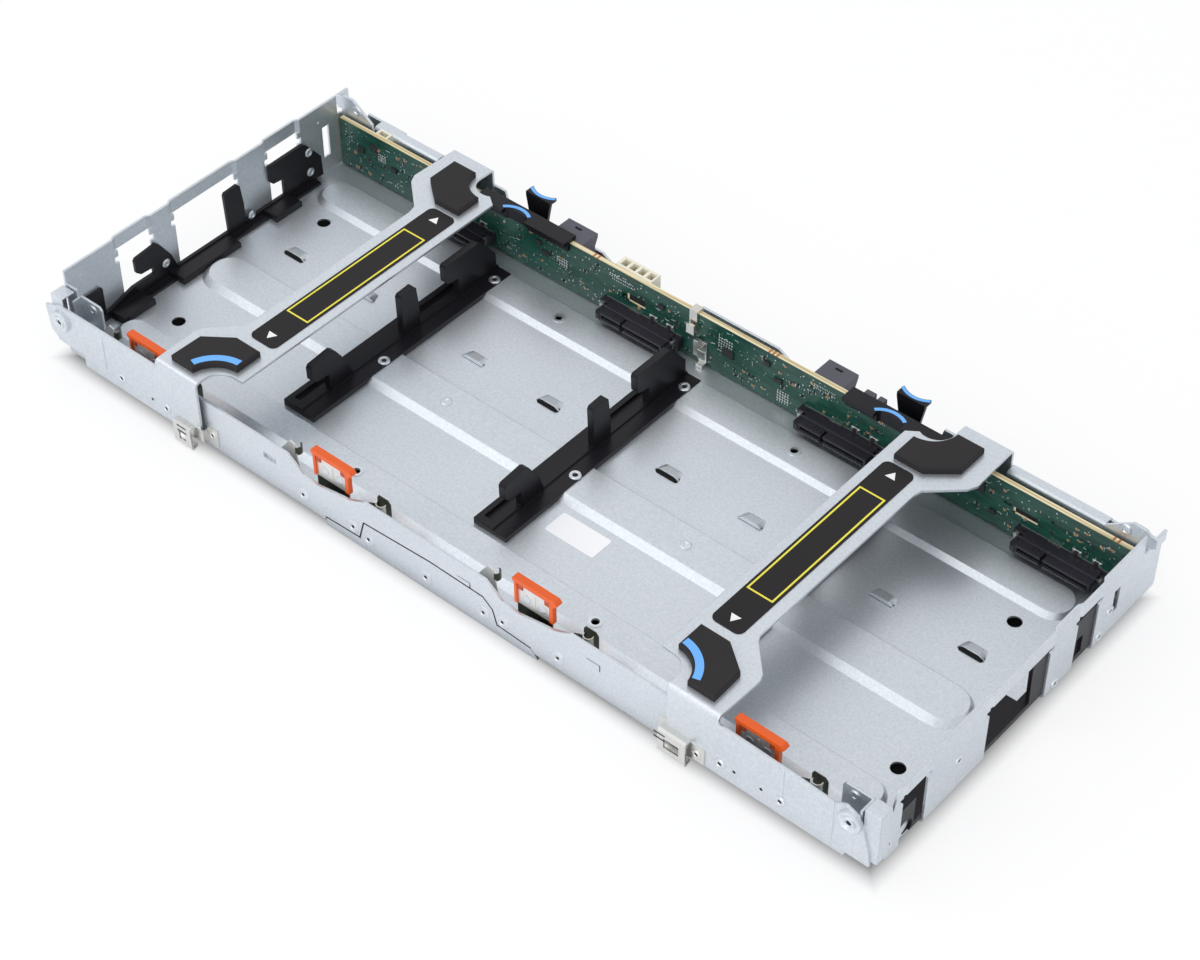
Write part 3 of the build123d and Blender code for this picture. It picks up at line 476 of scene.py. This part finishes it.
def board_notches():
    """Bare copper at the notches of the board's top edge."""
    heap = Heap()
    for x in (33.8, 35.8, 37.8, 198.0, 200.2, -60.0, -57.8):
        heap.box(x, x + 0.9, BOARD_FACE + 0.02, BOARD_FACE + 2.38, BOARD_TOP - 0.5, BOARD_TOP + 0.12)
    heap.done("board_notches", EXTRA["copper"], slot="green_board")


def board_earth_clip():
    """Spring clip low on the board's front, near its middle."""
    clip = Heap()
    clip.box(-1.2, 3.0, 79.6, 80.5, 2.0, 13.0)
    clip.box(-2.4, 0.2, 77.4, 79.6, 6.0, 14.2)
    clip.box(0.9, 4.2, 76.6, 77.1, 6.4, 10.8)
    clip.box(0.4, 0.9, 76.6, 80.0, 6.4, 10.8)
    clip.box(-0.8, 2.6, 77.4, 80.0, 0.1, 2.0)
    soften(clip.done("board_earth_clip", MATERIALS["clip_steel"], slot="clip_steel"), 0.15)


def board_edges():
    """Beige cut edges of the laminate: the long top one and both short ones."""
    front, back = BOARD_FACE + 0.05, BOARD_FACE + 2.35
    heap = Heap()
    heap.box(-209.2, 207.8, front, back, BOARD_TOP - 0.02, BOARD_TOP + 0.06)
    for x in (-209.86, 208.38):
        heap.box(x, x + 0.08, front, back, 1.2, BOARD_TOP - 0.6)
    heap.done("board_edges", EXTRA["board_edge"], slot="green_board")


CONNECTOR_SPANS = ((-160, -114), (-54, -9), (51, 97), (157, 202))
PART_ROWS = ((8.6, 19.6, 2, 6), (8.4, 16.6, 2, 6), (-50.4, 22.0, 1, 4), (-80.0, 15.0, 3, 5),
             (39.6, 8.6, 4, 5), (112.0, 16.0, 3, 6), (-186.0, 17.0, 3, 4))
BOARD_SLOTS = ((bay(1) + 12.4, bay(1) + 21.9, 12.6, 16.4), (bay(3) - 3.2, bay(3) + 8.0, 13.0, 16.0))


def board_scatter(vias, pads, blocks, browns, marks):
    """Random vias, small parts with their pads and line marks, clear of the connectors."""
    rng = random.Random(7)
    y = BOARD_FACE

    def free(x, z):
        return z > 10.5 or not any(a < x < b for a, b in CONNECTOR_SPANS)

    for _ in range(520):
        x, z = rng.uniform(-207, 206), rng.uniform(2, 24.5)
        if free(x, z):
            vias.disc_y(x, y, z, rng.choice((0.22, 0.28, 0.36)), 0.04, 8)
    for _ in range(150):
        x, z = rng.uniform(-206, 205), rng.uniform(3, 24)
        if free(x, z):
            w, h = rng.choice(((0.5, 0.9), (0.9, 0.5), (0.7, 1.3)))
            low, high = z - h / 2, z + h / 2
            for step in (-w, w):
                pads.box(x + step - w / 2, x + step + w / 2, y - 0.14, y, low, high)
            part = blocks if rng.random() < 0.6 else browns
            part.box(x - w * 0.75, x + w * 0.75, y - 0.55, y, low, high)
    for _ in range(120):
        x, z = rng.uniform(-206, 205), rng.uniform(4, 24)
        if free(x, z):
            long = rng.uniform(0.8, 2.6)
            if rng.random() < 0.5:
                marks.box(x, x + long, y - 0.04, y, z, z + 0.16)
            else:
                marks.box(x, x + 0.16, y - 0.04, y, z, z + long * 0.6)


def board_groups(vias, pads, blocks, marks):
    """Ordered groups: rows of vias, the parts over each connector, and rows of small pads."""
    y = BOARD_FACE
    for k in range(12):
        for z in (21.4, 19.7):
            vias.disc_y(-48.7 + k, y, z, 0.3, 0.05, 8)
            vias.disc_y(58.0 + k * 0.9, y, z + 1.2, 0.26, 0.05, 8)
    for i in BAYS:
        for x in (bay(i) + 24.3, bay(i) + 33.4):
            for z in (9.3, 11.2):
                marks.box(x, x + 4.3, y - 0.05, y, z, z + 0.3)
            pads.box(x + 0.3, x + 1.2, y - 0.9, y, 9.7, 11.1)
            pads.box(x + 3.1, x + 4.0, y - 0.9, y, 9.7, 11.1)
            blocks.box(x + 1.2, x + 3.1, y - 1.0, y, 9.7, 11.1)
        vias.disc_y(bay(i) + 31, y, 11, 0.7, 0.3, 12)
        vias.disc_y(bay(i) + 45.5, y, 10.3, 0.5, 0.06, 10)
        vias.disc_y(bay(i) + 48.0, y, 18.1, 0.7, 0.06, 12)
    for x0, z0, rows, columns in PART_ROWS:
        for row in range(rows):
            z = z0 - row * 1.5
            for k in range(columns):
                x = x0 + k * 1.3
                marks.box(x, x + 0.7, y - 0.05, y, z, z + 0.35)
                pads.box(x + 0.1, x + 0.6, y - 0.4, y, z - 0.8, z - 0.3)


def board_slots():
    """Rims and dark middles of the two slots in the board."""
    y, rim = BOARD_FACE, 0.9
    rims, shades = Heap(), Heap()
    for x0, x1, z0, z1 in BOARD_SLOTS:
        rims.box(x0, x1, y - 0.06, y, z0, z0 + rim)
        rims.box(x0, x0 + rim, y - 0.06, y, z0, z1)
        shades.box(x0 + rim, x1, y - 0.05, y, z0 + rim, z1)
    rims.done("board_slot_rims", EXTRA["board_edge"], slot="green_board")
    shades.done("board_slot_shades", EXTRA["painted_shade"], slot="green_board")


def board_parts():
    """Vias, pads, small parts, plain line marks and slots on the board's front face."""
    vias, pads, blocks, browns, marks = Heap(), Heap(), Heap(), Heap(), Heap()
    board_scatter(vias, pads, blocks, browns, marks)
    board_groups(vias, pads, blocks, marks)
    board_slots()
    vias.done("board_vias", EXTRA["solder"], slot="green_board")
    pads.done("board_solder_pads", EXTRA["solder"], slot="green_board")
    blocks.done("board_small_parts", MATERIALS["chip_plastic"], slot="chip_plastic")
    browns.done("board_capacitors", EXTRA["brown_part"], slot="chip_plastic")
    marks.done("board_marks", EXTRA["white_ink"], slot="green_board")


# Turned heads: (radius, height) in mm from the rim to the middle.
HOLLOW = [(2.6, 0), (2.6, 0.45), (2.3, 0.75), (1.45, 0.8), (1.2, 0.6), (1.1, 0.1), (0, 0.1)]
BUTTON = [(2.3, 0), (2.25, 0.25), (1.9, 0.5), (1.2, 0.58), (0.9, 0.3), (0, 0.25)]
FLUSH = [(3.2, 0), (3.15, 0.16), (2.9, 0.3), (1.45, 0.3), (1.25, 0.06), (0, 0.06)]
DIMPLE = [(0.7, 0), (0.6, 0.14), (0.3, 0.2), (0, 0.22)]
FLAT_RIVET = [(2.0, 0), (1.95, 0.2), (1.6, 0.32), (0, 0.32)]
RINGED = [(4.7, 0), (4.6, 0.35), (4.1, 0.5), (3.6, 0.35), (3.3, 0.15), (2.9, 0.15), (2.7, 0.65),
          (2.0, 0.75), (1.6, 0.5), (1.4, 0.05), (0, 0.05)]

# Places of the heads: (x, z) on the front, (y, z) on the side walls, (x, y) on the floor.
WALL_SCREWS = [(-69.7, 2.1), (-42.1, 2.2), (36.5, 2.4), (64.3, 2.3), (-33.9, 0.4), (-3.3, 0.0),
               (26.7, 1.0)]
END_RIVETS = [(-171.6, 6.4), (-144.7, 5.5), (143.9, 6.1), (171.1, 6.6)]
END_BOSSES = [(-206.7, 17.7), (201, 20)]
END_PITS = [(150.3, 6.2), (162.5, 6.3), (-153.4, 5.4)]
LEFT_WALL_RIVETS = [(-27, 9.3), (23.6, 5.0), (60.3, 18.0), (60.4, 7.1)]
RIGHT_WALL_RIVETS = [(-79, 8.5), (-37.8, 16.1), (25.5, 2.4), (55.0, 3.5), (60.4, 13.0)]
DIVIDER_RIVETS = [(d * BAY_PITCH + 5.6, y) for d in (-1, 0, 1) for y in (-6.5, 62.2)]
WALL_OUTSIDE = 212.0
LEFT_WALL_INSIDE = -209.35


def scaled(profile, by):
    return [(r * by, h * by) for r, h in profile]


def spot(rim, top, height):
    """Profile of a flat disc of painted shade, for a bore's mouth."""
    return [(rim, 0), (top, height), (0, height)]


def front_fasteners():
    """Screws of the front wall and the end sections' rivets, bosses and pressed lines, with painted
    shade in each screw socket, each pit and each boss's middle, and a painted highlight on the pressed
    lines.
    """
    heads, socket_shades = Heap(), Heap()
    for x, z in WALL_SCREWS:
        heads.lathe(place(x, WALL_FRONT, z), "-y", FLUSH, 32)
        socket_shades.lathe(place(x, WALL_FRONT - 0.06, z), "-y", spot(0.85, 0.75, 0.08), 6)
    heads.done("wall_screw_heads", MATERIALS["bright_steel"], slot="bright_steel")
    socket_shades.done("wall_screw_sockets", EXTRA["painted_shade"], slot="bright_steel")
    ends, pit_shades = Heap(), Heap()
    for x, z in END_RIVETS:
        ends.lathe(place(x, END_FRONT, z), "-y", BUTTON, 28)
    for x, z in END_BOSSES:
        ends.lathe(place(x, END_FRONT - 1.2, z), "-y", RINGED, 40)
    ends.done("end_rivet_heads", MATERIALS["bright_steel"], slot="bright_steel")
    for x, z in END_PITS:
        pit_shades.lathe(place(x, END_FRONT, z), "-y", spot(0.75, 0.7, 0.03), 12)
    for x, z in END_BOSSES:
        pit_shades.lathe(place(x, END_FRONT - 1.27, z), "-y", spot(1.1, 1.0, 0.03), 16)
    pit_shades.done("end_pits", EXTRA["painted_shade"], slot="zinc_steel")
    # Pressed lines: real raised strips, drawn in lighter steel as a painted highlight.
    crease_highlights = Heap()
    for x, z0, z1 in ((171.6, 7.5, 25.0), (193.4, 3.2, 23.5), (-181.5, 5.5, 23.0)):
        crease_highlights.box(x, x + 0.45, END_FRONT - 0.22, END_FRONT, z0, z1)
    crease_highlights.done("end_creases", MATERIALS["bright_steel"], slot="zinc_steel")


def side_fasteners():
    """Rivets and dimples of both side walls, and painted shade in the bore of each outer rivet and each
    end-section rivet.
    """
    heads, bore_shades, dimples = Heap(), Heap(), Heap()
    for y, z in LEFT_WALL_RIVETS:
        heads.lathe(place(LEFT_WALL_INSIDE, y, z), "x", scaled(BUTTON, 0.95), 28)
    for y, z in RIGHT_WALL_RIVETS:
        heads.lathe(place(WALL_OUTSIDE, y, z), "x", BUTTON, 28)
    for y, z in LEFT_WALL_RIVETS:
        heads.lathe(place(-WALL_OUTSIDE, y, z), "-x", BUTTON, 28)
    heads.done("side_rivet_heads", MATERIALS["bright_steel"], slot="bright_steel")
    for y, z in RIGHT_WALL_RIVETS:
        bore_shades.lathe(place(WALL_OUTSIDE + 0.26, y, z), "x", spot(0.95, 0.9, 0.04), 14)
    for x, z in END_RIVETS:
        bore_shades.lathe(place(x, END_FRONT - 0.26, z), "-y", spot(0.95, 0.9, 0.04), 14)
    bore_shades.done("rivet_bores", EXTRA["painted_shade"], slot="bright_steel")
    for y, z in ((-70.4, 29), (-25.7, 28.5), (23.9, 28), (69.3, 28.1)):
        dimples.lathe(place(-211.0, y, z), "x", DIMPLE, 12)
    for y, z in ((-22.7, 24.5), (27.7, 22.4), (-45, 27)):
        dimples.lathe(place(WALL_OUTSIDE, y, z), "x", DIMPLE, 12)
    dimples.done("side_wall_dimples", MATERIALS["bright_steel"], slot="zinc_steel")


def floor_fasteners():
    """Hollow rivets of the dividers with painted shade in each one's bore, and one button rivet in each
    of the two middle bays.
    """
    heads, bore_shades = Heap(), Heap()
    for x, y in DIVIDER_RIVETS:
        heads.lathe(place(x, y, 2.5), "z", HOLLOW, 32)
        bore_shades.lathe(place(x, y, 2.58), "z", spot(1.12, 1.05, 0.06), 16)
    for sign in (-1, 1):
        heads.lathe(place(sign * 63.4, -7.6, 2.0), "z", scaled(BUTTON, 1.05), 28)
    heads.done("floor_rivet_heads", MATERIALS["bright_steel"], slot="bright_steel")
    bore_shades.done("floor_rivet_bores", EXTRA["painted_shade"], slot="bright_steel")


def ear_rivets():
    """Rivets of the four corner brackets."""
    heads = Heap()
    for sign in (-1, 1):
        heads.lathe(place(sign * 201.2, 84.0, 31.2), "-y", scaled(BUTTON, 1.15), 28)
    heads.lathe(place(196.7, -79.0, 22.9), "-y", BUTTON, 28)
    heads.lathe(place(-196.7, -77.6, 22.9), "-y", BUTTON, 28)
    heads.done("ear_rivet_heads", MATERIALS["bright_steel"], slot="bright_steel")


LEAF_FRONT = -80.6


def latches():
    """Orange cap, sprung leaf and two flat rivets, each set on its own latch, with painted shade on the
    cap's recessed tabs and the leaf's lower end.
    """
    for n, c in enumerate(LATCHES, 1):
        body = "latch_%d" % n
        cap, tabs, leaf, shaded_foot, rivets = Heap(), Heap(), Heap(), Heap(), Heap()
        cap.plate([(c - 11.3, 25.9), (c + 7.4, 25.9), (c + 8.2, 24.2), (c + 10.7, 26.6),
                   (c + 9.3, 28.2), (c - 11.3, 28.2), (c - 11.9, 27.3)], -81.9, -78.6)
        cap.plate(rect(c - 11.2, c - 9.8, 14.6, 26.2), -81.5, -79.2)
        cap.plate(rect(c + 6.2, c + 8.1, 14.9, 26.2), -81.5, -79.2)
        # Recessed tabs, in orange darkened as painted shade.
        tabs.plate(rect(c - 9.8, c - 7.3, 22.3, 26.0), -81.1, -79.4)
        tabs.plate(rect(c + 3.5, c + 6.2, 22.3, 26.0), -81.1, -79.4)
        leaf.plate(rect(c - 10.3, c + 7.0, 14.4, 26.0), LEAF_FRONT, -80.0)
        leaf.plate(rect(c - 1.6, c - 1.15, 16.0, 22.6), LEAF_FRONT - 0.2, -80.5)
        # Lower end of the leaf, in nickel darkened as painted shade.
        shaded_foot.plate(rect(c - 10.3, c + 7.0, 0.8, 14.4), -80.55, -80.0)
        for dx, z in ((-5.5, 19.0), (2.3, 18.8)):
            rivets.lathe(place(c + dx, LEAF_FRONT, z), "-y", FLAT_RIVET, 28)
        shell = cap.done("latch_cap_%d" % n, MATERIALS["orange_plastic"], body, "orange_plastic")
        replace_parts(soften(shell), "release_cap_%d" % n)
        soften(tabs.done("latch_tabs_%d" % n, EXTRA["orange_in_shade"], body, "orange_plastic"))
        strip = leaf.done("latch_leaf_%d" % n, EXTRA["leaf_steel"], body, "spring_steel")
        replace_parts(strip, "release_leaf_%d" % n)
        shaded_foot.done("latch_foot_%d" % n, EXTRA["nickel_in_shade"], body, "spring_steel")
        rivets.done("latch_rivets_%d" % n, MATERIALS["bright_steel"], body, "bright_steel")


def curl(heap, x, y, r, z0, z1, start, end, thick=0.35, steps=14):
    """Upright strip rolled round a vertical line, from one angle to another."""
    turns = [math.radians(start + (end - start) * k / steps) for k in range(steps + 1)]
    inner = [place(x + (r - thick) * math.cos(t), y + (r - thick) * math.sin(t), z0) for t in turns]
    outer = [place(x + r * math.cos(t), y + r * math.sin(t), z0) for t in turns]
    heap.strip(inner, outer, rise(z1 - z0))


def contact_strips():
    """Bent contact springs: a cream strip left of each latch, a rolled nickel finger right of it, and
    parts behind both darkened as painted shade.
    """
    pale, back, finger, shade = Heap(), Heap(), Heap(), Heap()
    outline = ((-31.0, 11.0), (-18.8, 11.0), (-18.5, 12.9), (-20.4, 15.4), (-23.6, 21.2),
               (-26.4, 21.8), (-31.0, 15.0))
    lean = 0.31
    for c in LATCHES:
        pale.prism([place(c + x, -81.9 + (z - 11) * lean, z) for x, z in outline],
                   Vector((0, -0.4 * MM, 0)))
        # Rolled strip behind the cream one, in nickel darkened as painted shade.
        curl(back, c - 23.0, -78.4, 2.1, 17.0, 20.8, -70, 90)
        curl(finger, c + 24.3, -80.0, 2.2, 13.4, 19.8, 180, 380)
        # Plates of painted shade behind the rolled finger.
        shade.plate([(c + 20.6, 12.0), (c + 27.7, 12.0), (c + 27.7, 19.6), (c + 26.4, 21.2),
                     (c + 21.4, 21.2), (c + 20.6, 19.8)], -78.4, -78.0)
        shade.plate([(c + 16.4, 12.0), (c + 20.6, 12.0), (c + 20.6, 17.0), (c + 16.8, 15.2)],
                    -79.6, -79.2)
    strips = soften(pale.done("contact_strips", EXTRA["leaf_steel"], slot="spring_steel"), 0.12)
    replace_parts(strips, "left_contact_springs")
    back.done("contact_strip_back_shade", EXTRA["nickel_in_shade"], slot="spring_steel")
    fingers = finger.done("contact_fingers", MATERIALS["spring_steel"], slot="spring_steel")
    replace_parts(fingers, "right_contact_springs")
    shade.done("contact_finger_shade", EXTRA["nickel_in_shade"], slot="spring_steel")


def clip_details():
    """Painted shade in two pierced slit openings in each outer clip's face, and a flat ring rivet on
    each clip's tab with painted shade in its bore.
    """
    slit_shades, rings, bore_shades = Heap(), Heap(), Heap()
    for node, x, y, z in (("outer_clip_left", -120.4, -84.8, 3.7),
                          ("outer_clip_right", 133.6, -87.6, 3.8)):
        rings.lathe(place(x, y, z), "-y", scaled(BUTTON, 0.9), 24)
        bore_shades.lathe(place(x, y - 0.24, z), "-y", spot(0.85, 0.8, 0.04), 14)
        low, high = ((corner - SHIFT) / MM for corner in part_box(node))
        for down in (3.2, 5.8):
            slit = high.z - down
            slit_shades.box(low.x + 2.4, low.x + 7.6, low.y - 0.04, low.y + 0.02, slit, slit + 0.7)
    slit_shades.done("clip_slits", EXTRA["painted_shade"], slot="clip_steel")
    rings.done("clip_rivets", MATERIALS["clip_steel"], slot="clip_steel")
    bore_shades.done("clip_rivet_bores", EXTRA["painted_shade"], slot="clip_steel")


SEAM = [(-57.1, -2.6), (-38.5, -1.8), (-35.7, 7.9), (-0.4, 10), (26.7, 9.5), (31.4, 5.7),
        (33.5, -1.4), (50.4, -2.3)]


def seam_shade():
    """Dark line in the seam between the front wall and the plate let into it."""
    heap = Heap()
    corners = [Vector(corner) for corner in SEAM]
    for start, end in zip(corners, corners[1:]):
        along = (end - start).normalized()
        across = Vector((-along.y, along.x))
        start, end = start - along * 0.1, end + along * 0.3
        near, far = across * -0.08, across * 0.62
        heap.plate([start + near, end + near, end + far, start + far], WALL_FRONT - 0.03, WALL_FRONT)
    heap.done("seam_shade", EXTRA["painted_shade"], slot="zinc_steel")


def corner_wraps():
    """Folded sheet that closes both front corners between the end sections and the side walls."""
    front, back, low, high, sheet = -86.0, -79.0, 3.6, 29.0, 0.8
    for sign, side in ((1, "right"), (-1, "left")):
        heap = Heap()
        xs = sorted((sign * 205.6, sign * 212.6))
        heap.box(xs[0], xs[1], front, front + sheet, low, high)
        heap.box(xs[0], xs[1], front + sheet, back, high - sheet, high)
        xs = sorted((sign * 211.8, sign * 212.6))
        heap.box(xs[0], xs[1], front + sheet, back, low, high - sheet)
        soften(heap.done("corner_wrap_" + side, MATERIALS["zinc_steel"], slot="zinc_steel"), 0.3)


def connector_details():
    """Contact comb, gold contacts, ridges, painted shade for the key slots, solder tails and locating
    clips of each socket.
    """
    front, top = CONNECTOR_FRONT, 8.15
    teeth, gold, tails, clips, ridges, key_shades = Heap(), Heap(), Heap(), Heap(), Heap(), Heap()
    for i in BAYS:
        x0 = bay(i)
        for start, count in ((6.4, 9), (18.4, 18)):
            for k in range(count):
                x = x0 + start + k * 1.06
                teeth.box(x, x + 0.55, front - 0.35, front + 0.9, 4.0, 5.1)
                if k % 2 == 0:
                    gold.box(x + 0.1, x + 0.45, front + 0.7, front + 3, 6.6, 7.0)
        for k in range(7):
            x = x0 + 14.2 + k * 0.86
            tails.box(x, x + 0.4, BOARD_FACE - 1.3, BOARD_FACE - 0.1, 8.6, 9.3)
        tails.box(x0 + 1, x0 + 41.6, BOARD_FACE - 0.2, BOARD_FACE, 8.7, 8.95)
        clips.box(x0 + 1.0, x0 + 2.6, BOARD_FACE - 5.2, BOARD_FACE - 3.4, 5.2, 8.0)
        clips.box(x0 + 39.6, x0 + 41.0, BOARD_FACE - 5.4, BOARD_FACE - 3.4, 4.6, 7.8)
        ridges.box(x0 + 3.0, x0 + 39.8, front + 4.3, front + 4.75, top, top + 0.35)
        ridges.box(x0 + 3.0, x0 + 39.8, front + 8.2, front + 8.6, top, top + 0.45)
        for dx in (11.4, 13.2, 15.0):
            key_shades.box(x0 + dx, x0 + dx + 0.8, front + 1.2, front + 3.9, top, top + 0.11)
    for name, heap, material in (("connector_ridges", ridges, MATERIALS["grey_plastic"]),
                                 ("connector_keys", key_shades, EXTRA["painted_shade"]),
                                 ("connector_combs", teeth, MATERIALS["grey_plastic"]),
                                 ("connector_contacts", gold, EXTRA["gold_pad"]),
                                 ("connector_tails", tails, EXTRA["solder"]),
                                 ("connector_clips", clips, EXTRA["solder"])):
        heap.done(name, material, slot="connector_plastic")


LOUVRE_X = 21
LOUVRE_Y = 19.2


def floor_details():
    """Painted shade in one louvre mouth of each bay and on the floor just in front of it, a bright plate
    of painted light in the other, and rings round the small holes.
    """
    mouth_shades, lips = Heap(), Heap()
    for i in BAYS:
        dark_way = 1 if i in (1, 3) else -1
        dark_x, bright_x = bay(i) + dark_way * LOUVRE_X, bay(i) - dark_way * LOUVRE_X
        # The plate in the shaded mouth is painted shade; the one in the lit mouth is painted light.
        for heap, x in ((mouth_shades, dark_x), (lips, bright_x)):
            heap.plate([(x - 5.9, 0.03), (x + 5.9, 0.03), (x + 4.7, 1.05), (x + 3.4, 1.5),
                        (x - 3.4, 1.5), (x - 4.7, 1.05)], LOUVRE_Y - 0.08, LOUVRE_Y + 0.04)
        # Painted shade on the floor in front of the shaded mouth.
        shadow = ((-6.1, LOUVRE_Y), (-4.6, LOUVRE_Y - 1.3), (5.2, LOUVRE_Y - 1.3), (6.1, LOUVRE_Y))
        mouth_shades.prism([place(dark_x + dx, y, 0.0) for dx, y in shadow], rise(0.04))
    mouth_shades.done("louvre_mouths", EXTRA["painted_shade"], slot="zinc_steel")
    lips.done("louvre_mouth_light", MATERIALS["bright_steel"], slot="zinc_steel")
    rings = Heap()
    for x in (-62.95, 62.95):
        for y in (-61, 62):
            rings.ring_z(x, y, 2.0, 1.7, 2.9, 0.3)
    rings.done("floor_hole_rings", MATERIALS["bright_steel"], slot="bright_steel")


# Stage, light and camera

# Half sizes and fade, in metres, of the patch of painted shade on the floor under the tray.
DARK_HALF_X, DARK_HALF_Y, DARK_FADE = 0.205, 0.082, 0.012
GLOW = 0.72


def outside_tray(nt, most):
    """Two values: 0 under the tray, where the floor is painted near black as shade for its holes, and 1
    and most beside it.
    """
    coords = nt.nodes.new("ShaderNodeTexCoord")
    split = nt.nodes.new("ShaderNodeSeparateXYZ")
    nt.links.new(coords.outputs["Object"], split.inputs["Vector"])
    shares = []
    for axis, half in (("X", DARK_HALF_X), ("Y", DARK_HALF_Y)):
        size = nt.nodes.new("ShaderNodeMath")
        size.operation = "ABSOLUTE"
        nt.links.new(split.outputs[axis], size.inputs[0])
        grow = nt.nodes.new("ShaderNodeMapRange")
        grow.inputs["From Min"].default_value = half
        grow.inputs["From Max"].default_value = half + DARK_FADE
        nt.links.new(size.outputs["Value"], grow.inputs["Value"])
        shares.append(grow.outputs["Result"])
    larger = nt.nodes.new("ShaderNodeMath")
    larger.operation = "MAXIMUM"
    for share, socket in zip(shares, larger.inputs):
        nt.links.new(share, socket)
    scale = nt.nodes.new("ShaderNodeMath")
    scale.operation = "MULTIPLY"
    scale.inputs[1].default_value = most
    nt.links.new(larger.outputs["Value"], scale.inputs[0])
    return larger.outputs["Value"], scale.outputs["Value"]


def stage():
    """White floor that glows for the camera and bounces plain light onto the tray, painted near black as
    shade under the tray.
    """
    bpy.ops.mesh.primitive_plane_add(size=14, location=(0, 0, -0.0002))
    floor = bpy.context.object
    floor.name = "floor"
    material, nt, shader = tree("floor_white")
    shader.inputs["Roughness"].default_value = 0.9
    output = nt.nodes["Material Output"]
    path = nt.nodes.new("ShaderNodeLightPath")
    glow = nt.nodes.new("ShaderNodeEmission")
    glow.inputs["Color"].default_value = (1, 1, 1, 1)
    glow.inputs["Strength"].default_value = 1.0
    mix = nt.nodes.new("ShaderNodeMixShader")
    part = nt.nodes.new("ShaderNodeMath")
    part.operation = "MULTIPLY"
    outside, share = outside_tray(nt, GLOW)
    # Near black under the tray is painted shade; pale white beside it.
    color = ramp(nt, outside, (0.02, 0.02, 0.02), (0.93, 0.93, 0.94), 0.0, 1.0)
    nt.links.new(color, shader.inputs["Base Color"])
    nt.links.new(share, part.inputs[1])
    nt.links.new(path.outputs["Is Camera Ray"], part.inputs[0])
    nt.links.new(part.outputs["Value"], mix.inputs["Fac"])
    nt.links.new(shader.outputs["BSDF"], mix.inputs[1])
    nt.links.new(glow.outputs["Emission"], mix.inputs[2])
    nt.links.new(mix.outputs["Shader"], output.inputs["Surface"])
    floor.data.materials.append(material)


def world():
    """Soft even light, with pure white where the camera sees past the floor."""
    scene = bpy.context.scene
    scene.world = bpy.data.worlds.new("studio") if scene.world is None else scene.world
    scene.world.use_nodes = True
    nt = scene.world.node_tree
    background = nt.nodes["Background"]
    background.inputs["Color"].default_value = (0.97, 0.98, 1.0, 1)
    background.inputs["Strength"].default_value = 0.95
    path = nt.nodes.new("ShaderNodeLightPath")
    white = nt.nodes.new("ShaderNodeBackground")
    white.inputs["Color"].default_value = (1, 1, 1, 1)
    mix = nt.nodes.new("ShaderNodeMixShader")
    nt.links.new(path.outputs["Is Camera Ray"], mix.inputs["Fac"])
    nt.links.new(background.outputs["Background"], mix.inputs[1])
    nt.links.new(white.outputs["Background"], mix.inputs[2])
    nt.links.new(mix.outputs["Shader"], nt.nodes["World Output"].inputs["Surface"])


def lamp(name, energy, size, location):
    """Square area light that points at the middle of the tray."""
    data = bpy.data.lights.new(name, "AREA")
    data.energy = energy
    data.size = size
    light = bpy.data.objects.new(name, data)
    light.location = location
    light.rotation_euler = (-Vector(location)).to_track_quat("-Z", "Y").to_euler()
    bpy.context.scene.collection.objects.link(light)


# The photograph's viewpoint, fitted on the bays' pitch: degrees, and millimetres as for place.
AZIMUTH, ELEVATION, ROLL = 40.6214, 44.3515, -0.0971
CAMERA_AT = (512.23, -582.00, 749.60)
LENS, SENSOR = 80.55, 36.0


def camera():
    """Camera at the photograph's viewpoint."""
    a, e, r = (math.radians(v) for v in (AZIMUTH, ELEVATION, ROLL))
    right = Vector((math.cos(a), math.sin(a), 0))
    ahead = Vector((-math.sin(a) * math.cos(e), math.cos(a) * math.cos(e), -math.sin(e)))
    up = right.cross(ahead)
    turned_right = math.cos(r) * right + math.sin(r) * up
    turned_up = turned_right.cross(ahead)
    matrix = Matrix((turned_right, turned_up, -ahead)).transposed().to_4x4()
    matrix.translation = place(*CAMERA_AT)
    data = bpy.data.cameras.new("camera")
    data.lens = LENS
    data.sensor_width = SENSOR
    data.sensor_fit = "HORIZONTAL"
    data.clip_start = 0.05
    view = bpy.data.objects.new("camera", data)
    view.matrix_world = matrix
    bpy.context.scene.collection.objects.link(view)
    bpy.context.scene.camera = view


camera()
world()
stage()
lamp("overhead", 4.0, 1.3, (-0.85, -0.60, 1.45))
lamp("front", 7.0, 1.1, (0.35, -1.5, 0.75))
bpy.context.scene.view_settings.view_transform = "Standard"
dress_nodes()
pad_arcs()
label_prints()
clip_arcs()
board_notches()
board_earth_clip()
board_edges()
board_parts()
connector_details()
front_fasteners()
side_fasteners()
floor_fasteners()
ear_rivets()
latches()
contact_strips()
corner_wraps()
seam_shade()
clip_details()
floor_sticker()
floor_details()
